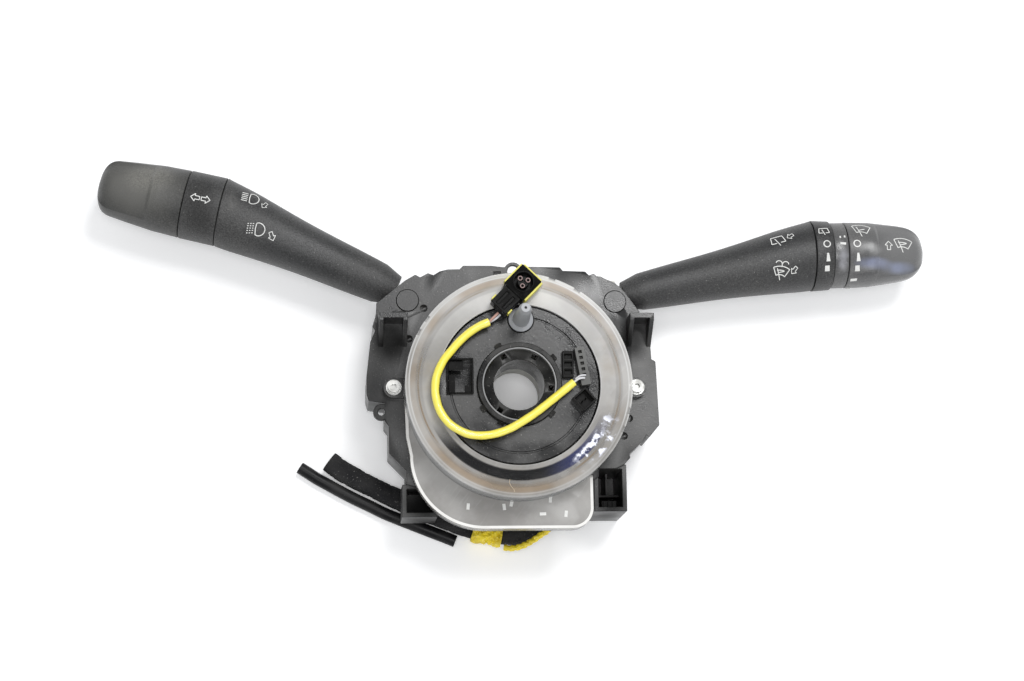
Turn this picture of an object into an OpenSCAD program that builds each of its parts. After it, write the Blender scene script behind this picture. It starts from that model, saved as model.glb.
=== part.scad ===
// Steering column switch module with airbag clock spring, two stalks and a cut harness.
// All sizes are millimetres. Z points towards the driver along the steering axis,
// X points right and Y points up as the module is seen from the driver's seat.
// The origin is on the steering axis in the plane that the module lies on.

/* [Column and carrier] */
// inner radius of the collar that sits on the steering column tube
column_r = 19; // [17:0.5:20]
// height of the plane that the carrier front face lies in
plate_top = 36; // [35:0.5:37]
// thickness of the carrier front plate
plate_t = 3; // [2.5:0.1:3]
// thickness of the carrier skirt and box walls
wall_t = 2.2; // [1.8:0.1:2.4]

/* [Clock spring cassette] */
// outer radius of the clear cover
cover_r = 49; // [48.5:0.1:49.5]
// height of the clear cover front face
cover_top = 58; // [57:0.5:60]
// wall thickness of the clear cover
cover_t = 1.6; // [1.4:0.1:1.8]
// radius of the opening in the clear cover
cover_hole_r = 35; // [34.9:0.1:36]
// radius of the turning rotor disc
rotor_r = 34.4; // [34:0.1:34.5]
// number of ribbon turns wound on the rotor
ribbon_turns = 5; // [3:1:6]
// thickness of the flat ribbon cable with its film
ribbon_t = 0.3; // [0.2:0.05:0.35]

/* [Rotor hub] */
// radius of the bore for the steering shaft
bore_r = 11; // [10:0.25:11.5]
// outer radius of the raised hub ring
hub_r = 18.2; // [17.5:0.1:18.5]
// radius of the bright ring inside the hub
race_r = 16; // [15.5:0.1:16.2]
// tip radius of the turn signal cancelling cam
cam_r = 25.2; // [24:0.2:25.4]

/* [Lock plunger] */
// length of the lock plunger above the rotor disc
plunger_h = 25; // [22:0.5:27]
// travel of the lock plunger when it is pressed
plunger_travel = 4; // [3:0.5:4]

/* [Stalks] */
// largest radius of the left stalk
left_head_r = 15.4; // [14.5:0.1:15.6]
// length of the left end knob
left_knob_len = 38.8; // [36:0.2:42]
// largest radius of the right stalk
right_head_r = 16; // [15:0.1:16.2]
// length of the right end knob
right_knob_len = 36.8; // [34:0.2:40]
// height of both stalk axes
stalk_z = 24; // [23.5:0.1:24.2]
// radius of the steel core rod in each stalk
core_r = 3.2; // [2.8:0.1:3.4]
// radius of the vertical pivot pins
pivot_r = 2.4; // [2:0.1:2.6]
// radius of the cross pins that the stalks tilt on
tilt_r = 1.5; // [1.2:0.1:1.6]

/* [Fasteners and fits] */
// radius of the two cassette screws
clock_screw_r = 1.9; // [1.5:0.1:2]
// radius of the four switch module screws
module_screw_r = 1.3; // [1.1:0.1:1.5]
// radius of the clamp screw
clamp_screw_r = 2.5; // [2:0.1:2.6]
// radial running clearance of pins in their bores
fit = 0.05; // [0.03:0.01:0.08]
// clear gap between moving parts that do not touch
gap = 0.3; // [0.3:0.05:0.4]

/* [Airbag lead and harness] */
// radius of the yellow airbag lead sleeve
lead_r = 1.75; // [1.5:0.05:1.9]
// radius of the felt wrapped harness bundle
bundle_r = 4.8; // [4.2:0.1:5]
// radius of the smooth harness tube
tube_r = 2.7; // [2.4:0.1:2.8]

/* [Hidden] */
$fn = 96;
eps = 0.01;
plate_bot = plate_top - plate_t;
cover_base = plate_top + 3;
skirt_top = plate_top + 8;
disc_top = cover_top - 1;
disc_bot = disc_top - 2.4;
hub_top = cover_top + 1;
race_wall_r = 32;
ring_wall_r = 29;
screw_x = cover_r + 4.2;
wall_r = cover_r - 4;
case_top_t = 1.6;
case_top = plate_bot;
case_bot = 11;
lid_bot = case_bot - 1.6;
case_wall = 1.8;
left_pivot = [-46.8, 41.5];
right_pivot = [45, 41.1];
left_turn = 155.4;
right_turn = 12.03;
axis_y = -4.5;
tilt_x = -3;
left_knob_turn = 167.2;
right_knob_turn = 1.5;
left_crease_x = 15.3;
right_crease_x = 14.3;
left_arm_end = [-128.8, 84.2];
right_arm_end = [136, 64.95];
left_band_len = 16.2;
right_ring_len = 8.6;
right_index_len = 6.4;
plunger_x = 1.1;
plunger_y = 28.3;
shroud_posts = [[-12.5, 49.2], [12.5, 49.2], [-27, -35.5], [27, -35.5]];
carrier_pts = [
  [-47.7, -40], [-47.9, -34.1], [-55.3, -26.4], [-55.3, -14.6], [-57, -12.4], [-57, -4.2],
  [-60.8, -3.8], [-64.1, -3.2], [-65, -0.1], [-64.9, 7.7], [-64.1, 14.8], [-63.2, 23],
  [-61, 28], [-62.3, 29.8], [-60.5, 35.7], [-60.5, 40.3], [-47.8, 50.5], [-43.3, 53.2],
  [-41.1, 52], [-37.7, 53.9], [-35.2, 53], [-32.5, 54.7], [-28.9, 55.6], [-23.7, 55.7],
  [-22.1, 57.3], [-9.5, 57.3], [-4.5, 56.7], [7.5, 56.9], [20.8, 56.7], [22.1, 55.1],
  [32.1, 54.8], [33.8, 53], [35.9, 53.9], [37.6, 52.3], [38.7, 52.7], [47.2, 48.1],
  [49.7, 45.3], [56.1, 36.4], [52, 33.3], [60.6, 33.3], [60.5, 28.3], [60.3, 21.5],
  [60.6, 15.2], [62.4, 14.1], [63.3, -14.3], [58.7, -19.7], [57.4, -18.6], [55.8, -21.4],
  [49.7, -27.1], [50.1, -28.7], [47.6, -31.4], [34, -38], [20, -44], [-20, -46], [-34.5, -44]
];
carrier_in_pts = [
  [-45.4, -38.6], [-45.6, -33.1], [-53.1, -25.5], [-53.1, -13.8], [-54.8, -11.6], [-54.8, -2.2],
  [-61.9, -1.3], [-62.7, 0.4], [-62.6, 7.9], [-61.8, 15.1], [-60.9, 22.6],
  [-58.7, 27.9], [-59.8, 29.9], [-58.2, 35.9], [-58.2, 39.2], [-46.6, 48.5], [-43.1, 50.6],
  [-31.7, 52.6], [-28.6, 53.4], [-22.8, 53.5],
  [-21.2, 55.1], [-9.6, 55.1], [-4.4, 54.5], [7.4, 54.7], [19.9, 54.5], [21.2, 52.9],
  [31.3, 52.6], [38.3, 50.4], [45.8, 46.4],
  [47.9, 44], [53.2, 36.8], [50, 35.2], [50, 31.1], [58.4, 31.1], [58.3, 28.5], [58.1, 21.5],
  [58.5, 13.9], [60.3, 12.8], [61.1, -13.6], [57, -16.9], [54, -20.1],
  [47.8, -26.4], [48, -28.1], [46.4, -29.6], [33.4, -35.8], [19.6, -41.8], [-19.9, -43.8], [-34, -41.8]
];

// places a child built in the left module's own directions: x out along the stalk, y towards the hub
module on_left() { translate([left_pivot[0], left_pivot[1], 0]) rotate([0, 0, left_turn]) children(); }

// places a child built in the right module's own directions, mirrored so that y points to the hub
module on_right() { translate([right_pivot[0], right_pivot[1], 0]) rotate([0, 0, right_turn]) mirror([0, 1, 0]) children(); }

// places a child built with its x axis on the left knob axis, starting at the elbow
module on_left_knob() { translate([left_arm_end[0], left_arm_end[1], stalk_z]) rotate([0, 0, left_knob_turn]) children(); }

// places a child built with its x axis on the right knob axis, starting at the elbow
module on_right_knob() { translate([right_arm_end[0], right_arm_end[1], stalk_z]) rotate([0, 0, right_knob_turn]) children(); }

// a solid of revolution about the x axis from a profile of distance and radius
module turned(profile) { rotate([0, 90, 0]) rotate_extrude($fn = 128) polygon([for (p = profile) [p[1], p[0]]]); }

// a plain rod on the x axis
module rod_x(x0, x1, r) { translate([x0, 0, 0]) rotate([0, 90, 0]) cylinder(h = x1 - x0, r = r); }

// a cone on the x axis
module cone_x(x0, x1, r0, r1) { translate([x0, 0, 0]) rotate([0, 90, 0]) cylinder(h = x1 - x0, r1 = r0, r2 = r1); }

// a plate of a given height from a list of points
module slab(pts, z0, z1) { translate([0, 0, z0]) linear_extrude(height = z1 - z0) polygon(pts); }

// a box given by its corners
module block(a, b) { translate(a) cube([b[0] - a[0], b[1] - a[1], b[2] - a[2]]); }

// outline of a switch case, larger by m all round
function case_pts(m) = [[-24 - m, 14 + m], [4 + m, 14 + m], [6 + m, 6 + m], [6 + m, -3],
  [2.5 + m, -9 - m], [-4, -13.3 - m], [-9, -15 - m], [-24 - m, -15 - m]];
ear_a = [-27.4, -8];
ear_b = [-10, 17.6];

// a screw with a domed head at z0 and a plain shank going up
module cap_screw(z0, head_r, head_h, r, len) {
  difference() {
    translate([0, 0, z0]) cylinder(h = head_h, r = head_r, $fn = 48);
    translate([0, 0, z0 - eps]) cylinder(h = head_h * 0.6, r = head_r * 0.5, $fn = 6);
  }
  translate([0, 0, z0 + head_h]) cylinder(h = len, r = r, $fn = 48);
}

// the shelf brackets that carry the column shrouds
module shelf(x0, x1) {
  block([x0, 31, plate_bot - 12], [x1, 33.3, plate_top + 13]);
  for (x = [x0, x1 - 2]) translate([x, 31, 0]) rotate([0, 0, 0]) rotate([90, 0, 90]) linear_extrude(height = 2)
    polygon([[0, plate_top - 1], [0, plate_top + 13], [-1, plate_top + 13], [-11, plate_top - 1]]);
}

module carrier() {
  color([0.09, 0.09, 0.09]) difference() {
    union() {
      slab(carrier_pts, plate_bot, plate_top);
      difference() {
        slab(carrier_pts, lid_bot + 0.6, plate_bot);
        slab(carrier_in_pts, lid_bot, plate_bot + eps);
      }
      translate([-58.5, -8.2, plate_bot]) cylinder(h = plate_t, r = 3.6);
      translate([0, 54.9, plate_bot + 0.8]) cylinder(h = 2.2, r = 4);
      cylinder(h = 24, r = column_r + 4);
      translate([0, 0, 18]) cylinder(h = 3, r = ring_wall_r + 2);
      translate([0, 0, 18]) cylinder(h = plate_top - 18, r = ring_wall_r + 2);
      shelf(49.8, 60.4);
      shelf(-59.6, -47.2);
      for (p = shroud_posts) translate([p[0], p[1], 0]) cylinder(h = plate_bot, r = 3.2);
      block([-49.7, -54, 12], [-34.5, -39.8, 34]);
      block([34, -52, 0], [48.4, -31.4, 34]);
      block([4, -56, 14], [25, -44.6, plate_top]);
      on_left() for (p = [ear_a, ear_b]) translate([p[0], p[1], case_bot + 2.2]) cylinder(h = plate_bot - case_bot - 2.2, r = 3.2);
      on_right() for (p = [ear_a, ear_b]) translate([p[0], p[1], case_bot + 2.2]) cylinder(h = plate_bot - case_bot - 2.2, r = 3.2);
      for (x = [-screw_x, screw_x]) translate([x, 2, 20]) cylinder(h = plate_top - 20, r = 4);
      block([-47, -1.2, 22], [-ring_wall_r - 1, 1.2, plate_bot]);
      block([ring_wall_r + 1, -1.2, 22], [58.8, 1.2, plate_bot]);
      block([-1.2, ring_wall_r + 1, 22], [1.2, 55, plate_bot]);
      block([-1.2, -45, 22], [1.2, -ring_wall_r - 1, plate_bot]);
    }
    translate([0, 0, -1]) cylinder(h = 30, r = column_r);
    translate([0, 0, 21]) cylinder(h = 20, r = ring_wall_r);
    translate([-58.5, -8.2, 0]) cylinder(h = 50, r = 1.5);
    translate([0, 54.9, 0]) cylinder(h = 50, r = 2.6);
    block([-8.6, 53.2, plate_bot - 1], [-5.6, 54.6, plate_top + 1]);
    for (p = [[-39.7, 38], [-46.3, 24.3], [50, -11.3], [47.5, -19.1]]) translate([p[0], p[1], plate_top - 1.6]) cylinder(h = 3, r = 1.5);
    block([-47.7, -52, 15], [-36.5, -41.8, 36]);
    block([36, -50, 3], [46.4, -33.4, 36]);
    block([6, -58, 13], [23, -46.6, plate_top + 1]);
    on_left() module_pocket();
    on_right() module_pocket();
    for (x = [-screw_x, screw_x]) translate([x, 2, 24]) cylinder(h = 20, r = clock_screw_r + fit);
    for (p = shroud_posts) translate([p[0], p[1], -1]) cylinder(h = 16, r = 1.5);
    block([-1.5, -column_r - 8, -1], [1.5, -column_r + 4, 15]);
    rotate([0, 0, 0]) translate([0, 0, 3]) difference() { cylinder(h = 8, r = column_r + 8); translate([0, 0, -1]) cylinder(h = 10, r = column_r + 2.4); }
    pawl_way(0.25);
  }
}

// what the carrier leaves free for a switch case, its lever, its pivot and its screws
module module_pocket() {
  slab(case_pts(gap), -1, plate_bot);
  block([-1, -14.6, -1], [20, 8.4, plate_bot - eps]);
  for (p = [ear_a, ear_b]) {
    translate([p[0], p[1], lid_bot - 1]) cylinder(h = case_bot + 2.2 - lid_bot + 1, r = 3.6);
    translate([p[0], p[1], case_bot]) cylinder(h = 14, r = module_screw_r + fit);
  }
  translate([0, 0, plate_bot - 1]) cylinder(h = 8, r = pivot_r + fit);
  translate([0, 0, plate_top - 1.2]) cylinder(h = 3, r = 4.9);
}

module clamp_band() {
  color([0.7, 0.71, 0.72]) difference() {
    union() {
      translate([0, 0, 3.2]) cylinder(h = 7.6, r = column_r + 3.9);
      block([-7, -column_r - 11, 3.2], [7, -column_r - 2, 10.8]);
    }
    translate([0, 0, 2]) cylinder(h = 10, r = column_r + 2.4 + fit);
    block([-1.5, -column_r - 12, 2], [1.5, -column_r, 12]);
    block([-5.4, -column_r - 12, 2], [-3.4 + 0, -column_r - 4.6, 12]);
    block([3.4, -column_r - 12, 2], [5.4, -column_r - 4.6, 12]);
    translate([-10, -column_r - 7.4, 7]) rotate([0, 90, 0]) cylinder(h = 20, r = clamp_screw_r + fit);
  }
}

module clamp_screw() {
  color([0.62, 0.63, 0.64]) translate([0, -column_r - 7.4, 7]) {
    difference() { rod_x(-11, -7, 4.1); rod_x(-12, -9, 2); }
    rod_x(-7, 13, clamp_screw_r);
  }
}

module clamp_nut() {
  color([0.62, 0.63, 0.64]) translate([7, -column_r - 7.4, 7]) rotate([0, 90, 0]) difference() {
    cylinder(h = 4, r = 4.4, $fn = 6);
    translate([0, 0, -1]) cylinder(h = 6, r = clamp_screw_r + fit);
  }
}

module module_screws() {
  color([0.6, 0.6, 0.62]) {
    on_left() for (p = [ear_a, ear_b]) translate([p[0], p[1], 0]) cap_screw(case_bot - 1.7, 2.5, 1.7, module_screw_r, 12);
    on_right() for (p = [ear_a, ear_b]) translate([p[0], p[1], 0]) cap_screw(case_bot - 1.7, 2.5, 1.7, module_screw_r, 12);
  }
}

module clock_screws() {
  color([0.8, 0.8, 0.8]) for (x = [-screw_x, screw_x]) translate([x, 2, 0]) {
    translate([0, 0, plate_top + 3]) difference() {
      union() { cylinder(h = 0.8, r = 3.4); cylinder(h = 2.6, r = 2.55); }
      translate([0, 0, 1.3]) cylinder(h = 3, r = 1.3, $fn = 6);
    }
    translate([0, 0, plate_top - 11]) cylinder(h = 14, r = clock_screw_r);
  }
}

// outline of the cassette, larger or smaller by m
module cassette_2d(m) {
  circle(r = cover_r + m, $fn = 180);
  translate([-14.6, -28.5]) circle(r = cover_r - 17 + m, $fn = 180);
  translate([23.4, 20.5 - cover_r - 23]) circle(r = 9 + m);
  translate([-14.6, -11.5 - cover_r - m]) square([38, 30]);
  translate([0, -2.5 - cover_r]) square([32.4 + m, 14]);
  polygon([[-cover_r * cos(7) - m, -6], [0.8 - cover_r - m, -20.4], [2.6 - cover_r - m, -30], [-20, -30], [-20, -6]]);
}

module clock_base() {
  color([0.1, 0.1, 0.1]) difference() {
    union() {
      translate([0, 0, plate_top]) linear_extrude(height = 3) cassette_2d(0);
      translate([0, 0, plate_top]) cylinder(h = 3, r = ring_wall_r + 4);
      for (x = [-screw_x, screw_x]) translate([x, 2, plate_top]) cylinder(h = 3, r = 4.4);
      block([-screw_x, -2.4, plate_top], [screw_x, 6.4, plate_top + 3]);
      block([6.3, -56, plate_top - 1.7], [22.7, -46.9, plate_top + 1]);
      for (i = [0 : 4]) block([8.6 + i * 2.54, -51.6, plate_top - 9], [9.3 + i * 2.54, -50.9, plate_top + 1]);
    }
    translate([0, 0, plate_top - 1]) cylinder(h = 5, r = race_wall_r - 3);
    for (x = [-screw_x, screw_x]) translate([x, 2, plate_top - 1]) cylinder(h = 6, r = clock_screw_r + fit);
  }
}

// the round wall that the outer end of the ribbon lies against
module ribbon_wall() {
  color([0.62, 0.55, 0.45]) translate([0, 0, cover_base]) difference() {
    cylinder(h = cover_top - 2.2 - cover_base, r = wall_r + 1.6);
    translate([0, 0, -1]) cylinder(h = 40, r = wall_r);
  }
}

module clock_cover() {
  color([0.85, 0.85, 0.84, 0.35]) {
    difference() {
      translate([0, 0, cover_base]) cylinder(h = cover_top - cover_base, r = cover_r);
      translate([0, 0, cover_base - 1]) cylinder(h = cover_top - cover_base + 1 - cover_t, r = cover_r - cover_t);
      translate([0, 0, cover_base]) cylinder(h = 40, r = cover_hole_r);
      for (a = [72, 58, -14, -24, 144, 152]) rotate([0, 0, a]) block([cover_r - 0.9, -1.4, cover_top - 1.2], [cover_r + 1, 1.4, cover_top + 1]);
    }
    difference() {
      translate([0, 0, cover_base]) linear_extrude(height = skirt_top - cover_base) cassette_2d(0);
      translate([0, 0, cover_base - 1]) linear_extrude(height = skirt_top - cover_base + 1 - cover_t) cassette_2d(-cover_t);
      translate([0, 0, cover_base - 1]) cylinder(h = 20, r = cover_r - 0.6);
    }
  }
}

// the flat cable: wound on the rotor wall, then crossing once to the outer wall
function ribbon_r(a) = race_wall_r + 3.2 + 0.55 * min(a, 360 * ribbon_turns) / 360 + max(0, a - 360 * ribbon_turns) / 300 * (wall_r - 0.6 - race_wall_r - 3.2 - 0.55 * ribbon_turns);
ribbon_a = [for (a = [0 : 10 : 360 * ribbon_turns + 300]) a];
module ribbon_cable() {
  color([0.05, 0.05, 0.06]) translate([0, 0, cover_base + 0.6]) linear_extrude(height = disc_bot - cover_base - 1.4)
    polygon(concat(
      [for (a = ribbon_a) ribbon_r(a) * [cos(a - 60), sin(a - 60)]],
      [for (i = [len(ribbon_a) - 1 : -1 : 0]) (ribbon_r(ribbon_a[i]) + ribbon_t) * [cos(ribbon_a[i] - 60), sin(ribbon_a[i] - 60)]]));
}

module rotor_disc() {
  color([0.07, 0.07, 0.07]) difference() {
    union() {
      translate([0, 0, disc_bot]) cylinder(h = 2.4, r = rotor_r);
      translate([0, 0, cover_base + gap]) cylinder(h = disc_bot - cover_base, r = race_wall_r + 1.2);
      translate([plunger_x, plunger_y, disc_bot - 9.6]) cylinder(h = 10, r = 4);
      block([-31.5, -4.6, disc_bot - 6], [-19.5, 11.5, disc_bot + 1]);
    }
    difference() {
      translate([0, 0, cover_base - 1]) cylinder(h = disc_bot - cover_base + 1, r = race_wall_r);
      translate([plunger_x, plunger_y, disc_bot - 9.6]) cylinder(h = 10, r = 4);
      block([-31.5, -4.6, disc_bot - 6], [-19.5, 11.5, disc_bot + 1]);
    }
    translate([0, 0, disc_bot - 1]) cylinder(h = 5, r = hub_r);
    translate([plunger_x, plunger_y, disc_bot - 8.4]) cylinder(h = 12, r = 2.9 + fit);
    translate([plunger_x, plunger_y, disc_bot - 2.2]) cylinder(h = 12, r = 5.6);
    block([-30.5, -3.6, disc_bot - 4.8], [-20.5, 10.5, disc_top + 1]);
    translate([0, 0, disc_top - 0.5]) difference() { cylinder(h = 1, r = 29.9); translate([0, 0, -1]) cylinder(h = 3, r = 29.3); }
  }
}

module rotor_hub() {
  color([0.08, 0.08, 0.08]) difference() {
    union() {
      translate([0, 0, disc_bot]) cylinder(h = hub_top - disc_bot, r = hub_r - fit);
      translate([0, 0, 34]) cylinder(h = disc_bot - 34, r = bore_r + 1.8);
      for (a = [118, 38, -43, 214, 244]) rotate([0, 0, a]) block([hub_r - 0.8, -1.5, disc_top], [hub_r + 1.6, 1.5, hub_top - 0.6]);
    }
    translate([0, 0, 20]) cylinder(h = 60, r = bore_r);
    translate([0, 0, disc_bot + 1.6]) cylinder(h = 10, r = race_r);
    for (a = [118, 61, -6, 233]) rotate([0, 0, a]) block([12.9, -1.1, disc_bot - 1], [14.9, 1.1, disc_top]);
  }
}

module hub_ring() {
  color([0.7, 0.7, 0.7]) translate([0, 0, disc_bot + 1.6]) difference() {
    cylinder(h = hub_top - disc_bot - 2, r = race_r - fit);
    translate([0, 0, -1]) cylinder(h = 10, r = race_r - 0.6);
  }
}

module cancel_cam() {
  color([0.75, 0.75, 0.72]) {
    difference() {
      union() {
        translate([0, 0, 24.5]) cylinder(h = 9.5, r = 20);
        for (a = [20, 200]) rotate([0, 0, a]) translate([0, 0, 24.5]) intersection() {
          cylinder(h = 5, r = cam_r);
          translate([18.6, -6, 0]) cube([20, 12, 5]);
        }
      }
      translate([0, 0, 20]) cylinder(h = 30, r = bore_r);
      translate([0, 0, 27.5]) difference() { cylinder(h = 20, r = 18.4); translate([0, 0, -1]) cylinder(h = 30, r = bore_r + 1.8); }
    }
  }
}

module rotor_header() {
  color([0.45, 0.45, 0.43]) translate([27.1, 7.3, disc_top]) rotate([0, 0, 10]) difference() {
    block([-2, -8.3, 0], [2, 8.3, 4.2]);
    for (i = [-2 : 2]) block([-0.8, i * 2.54 + 1.2 - 0.7, 1], [0.8, i * 2.54 + 1.2 + 0.7, 6]);
  }
}

module rotor_socket() {
  color([0.05, 0.05, 0.05]) {
    difference() {
      block([-31.3, -4.2, disc_top], [-19.7, 11.3, disc_top + 1.6]);
      block([-30.5, -3.6, disc_top - 1], [-20.5, 10.5, disc_top + 2]);
    }
    translate([27.6, -7.1, disc_top]) rotate([0, 0, 41]) difference() {
      block([-3.8, -3.8, 0], [3.8, 3.8, 4.4]);
      block([-2.9, -2.9, 0.8], [2.9, 2.9, 6]);
    }
    translate([27.6, -7.1, disc_top]) rotate([0, 0, 41]) for (x = [-1.3, 0.7]) block([x, -0.3, 0.5], [x + 0.6, 0.3, 3.6]);
    difference() {
      block([18.6, 2.6, disc_top], [23.4, 14.2, disc_top + 2.6]);
      for (i = [0 : 2]) block([19.4, 4 + i * 3.4, disc_top + 1], [22.6, 6 + i * 3.4, disc_top + 4]);
    }
  }
}

module lock_plunger() {
  color([0.72, 0.72, 0.73]) translate([plunger_x, plunger_y, 0]) difference() {
    union() {
      translate([0, 0, disc_bot - 2.6]) cylinder(h = 5.2, r = 2.9);
      translate([0, 0, disc_top]) cylinder(h = 1.2, r = 5.3);
      translate([0, 0, disc_top + 1.2]) cylinder(h = 1.2, r1 = 5.3, r2 = 3.9);
      translate([0, 0, disc_top]) cylinder(h = plunger_h - 3, r1 = 3.9, r2 = 2.7);
      translate([0, 0, disc_top + plunger_h - 3]) cylinder(h = 3, r1 = 2.7, r2 = 1.9);
    }
    translate([0, 0, disc_top + plunger_h - 4]) cylinder(h = 6, r = 0.6, $fn = 32);
  }
}

// a helical wire spring standing on z0
function spring_pts(r, h, turns, n) = [for (i = [0 : n]) [r * cos(360 * turns * i / n), r * sin(360 * turns * i / n), h * i / n]];
module tube_path(pts, r, sides) {
  n = len(pts);
  function unit(v) = v / norm(v);
  t = [for (i = [0 : n - 1]) unit(pts[min(i + 1, n - 1)] - pts[max(i - 1, 0)])];
  side = [for (i = [0 : n - 1]) unit(cross(t[i], abs(t[i][2]) > 0.9 ? [1, 0, 0] : [0, 0, 1]))];
  up = [for (i = [0 : n - 1]) cross(side[i], t[i])];
  ring = [for (i = [0 : n - 1]) for (k = [0 : sides - 1]) pts[i] + r * (cos(360 * (k + 0.5) / sides) * side[i] + sin(360 * (k + 0.5) / sides) * up[i])];
  polyhedron(points = ring, faces = concat(
    [[for (k = [0 : sides - 1]) k]],
    [[for (k = [sides - 1 : -1 : 0]) (n - 1) * sides + k]],
    [for (i = [0 : n - 2]) for (k = [0 : sides - 1]) [i * sides + k, (i + 1) * sides + k, (i + 1) * sides + (k + 1) % sides, i * sides + (k + 1) % sides]]), convexity = 10);
}

module lock_spring() {
  color([0.7, 0.7, 0.7]) translate([plunger_x, plunger_y, disc_bot - 8.1]) tube_path(spring_pts(2.3, 5.2, 3, 36), 0.28, 6);
}

lead_pts = [[-13, 26.3, 62], [-17, 24.6, 62], [-21.7, 21.5, 62], [-26, 17.6, 62], [-29.4, 13.7, 62], [-32.4, 10, 62], [-34.5, 6, 62],
  [-35.8, 2.5, 62], [-36.3, -0.9, 62], [-36.4, -4, 62], [-36, -6.9, 62], [-35, -10.8, 62], [-33.1, -14.5, 62], [-30.2, -18, 62], [-26.5, -20.5, 62],
  [-22.4, -22.3, 62], [-18.1, -22.9, 62], [-13.8, -22.7, 62], [-9.6, -21.8, 62], [-5.2, -20.2, 62], [-1.1, -18, 62], [5.5, -13.8, 62],
  [11.7, -9.1, 62], [17.8, -4.2, 62], [23, 0, 62]];
module lead_sleeve() { color([0.85, 0.72, 0.05]) tube_path(lead_pts, lead_r, 8); }

module lead_wires() {
  color([0.7, 0.55, 0.5]) {
    tube_path([[23.2, 0.15, 62.2], [25, 1.4, 62.6], [26.6, 1.8, 62.5], [27.6, 1.9, 61.9]], 0.55, 6);
    tube_path([[-12.7, 26.5, 62.4], [-11.6, 27.6, 62.7], [-10.4, 28.8, 62.6], [-9, 30.2, 62.5]], 0.55, 6);
    tube_path([[-12.7, 26.5, 61.1], [-11.2, 27.2, 61.2], [-9.6, 28.3, 61.2], [-8.1, 29.7, 61.2]], 0.5, 6);
  }
}

// places a child built with its x axis along the airbag connector, tail end first
module on_squib() { translate([-9.3, 31.6, cover_top + 1]) rotate([0, 0, 45.6]) children(); }

module squib_connector() {
  color([0.06, 0.06, 0.06]) on_squib() difference() {
    union() {
      block([0, -4.4, 0.6], [10, 4.4, 7.6]);
      block([9.4, -5.6, 0], [21.2, 5.6, 8.6]);
      translate([15.6, 0, 8]) cylinder(h = 1.4, r = 4.6);
    }
    translate([15.6, 0, 4.4]) difference() { cylinder(h = 8, r = 4.1); translate([0, 0, -1]) cylinder(h = 5, r = 2.6); }
    for (a = [90, 210, 330]) rotate([0, 0, 0]) translate([15.6 + 1.3 * cos(a), 1.3 * sin(a), 5]) cylinder(h = 6, r = 0.55, $fn = 24);
    for (y = [-2.2, 1.2]) block([1.4, y, 6.8], [8, y + 1, 9]);
  }
}

module squib_clip() {
  color([0.85, 0.78, 0.1]) on_squib() {
    for (y = [-5, 4.4]) block([1.2, y, 2.4], [3.6, y + 0.6, 7]);
    for (y = [-6.3, 5.6]) block([10.4, y, 1.4], [21, y + 0.7, 7.8]);
    block([21.2, -5, 1.4], [21.9, 5, 7.8]);
  }
}

module switch_case() {
  color([0.1, 0.1, 0.1]) difference() {
    union() {
      slab(case_pts(0), case_bot, case_top);
      for (p = [ear_a, ear_b]) translate([p[0], p[1], case_bot]) cylinder(h = 2, r = 3.2);
      block([ear_a[0], ear_a[1] - 3.2, case_bot], [-23, ear_a[1] + 3.2, case_bot + 2]);
      block([ear_b[0] - 3.2, 13, case_bot], [ear_b[0] + 3.2, ear_b[1], case_bot + 2]);
    }
    difference() {
      slab(case_pts(-case_wall), case_bot - 1, case_top - case_top_t);
      block([-26, -16, 12.8], [5, 15, 14.6]);
    }
    block([-22, -13, 12.7], [-12, 12, 14.7]);
    block([-4.6, -16, 14.6], [20, 4, case_top - case_top_t]);
    translate([0, 0, 10]) cylinder(h = 40, r = pivot_r + fit);
    for (p = [ear_a, ear_b]) translate([p[0], p[1], case_bot - 1]) cylinder(h = 6, r = module_screw_r + fit);
    block([-30, 1, stalk_z - 1], [-20, 11.9, stalk_z + 4]);
  }
}

module switch_lid() {
  color([0.12, 0.12, 0.12]) difference() {
    union() {
      slab(case_pts(0), lid_bot, case_bot);
      difference() { slab(case_pts(-case_wall - 0.1), case_bot, case_bot + 0.5); slab(case_pts(-case_wall - 2), case_bot - 1, case_bot + 2); }
    }
    for (i = [0 : 4]) block([-20, -9 + i * 4, lid_bot - 1], [-12, -7.4 + i * 4, case_bot + 1]);
  }
}

module switch_board() {
  color([0.05, 0.3, 0.12]) slab(case_pts(-case_wall - 0.4), case_bot + 0.5, case_bot + 1.7);
  color([0.2, 0.2, 0.2]) {
    block([-21, -10, case_bot + 1.7], [-15, -4, case_bot + 4.5]);
    block([-21, 0, case_bot + 1.7], [-14, 3, case_bot + 3.7]);
  }
}

module pivot_pins() {
  color([0.08, 0.08, 0.08]) {
    translate([0, 0, plate_top - 1.2]) cylinder(h = 1.7, r = 4.7);
    translate([0, 0, case_top - 4.2]) cylinder(h = plate_top - 1.2 - case_top + 4.2, r = pivot_r);
    translate([0, 0, 12.8]) cylinder(h = 6, r = pivot_r);
  }
}

yoke_top = case_top - case_top_t - 0.2;
module yoke() {
  color([0.8, 0.8, 0.76]) difference() {
    block([-9, -10.4, 14.8], [3, 5, yoke_top]);
    block([-10, axis_y - 4.1, stalk_z - 4.6], [4, axis_y + 3.9, stalk_z + 4.6]);
    translate([0, 0, 10]) cylinder(h = stalk_z - 10, r = pivot_r + fit);
    translate([0, 0, stalk_z]) cylinder(h = 20, r = pivot_r + fit);
    translate([tilt_x, -12, stalk_z]) rotate([-90, 0, 0]) cylinder(h = 20, r = tilt_r + fit);
    translate([-6, 2.2, 14]) cylinder(h = 12, r = 1.5 + fit);
  }
}

module cross_pin() {
  color([0.75, 0.75, 0.76]) translate([tilt_x, -10.3, stalk_z]) rotate([-90, 0, 0]) cylinder(h = 15.2, r = tilt_r);
}

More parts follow.
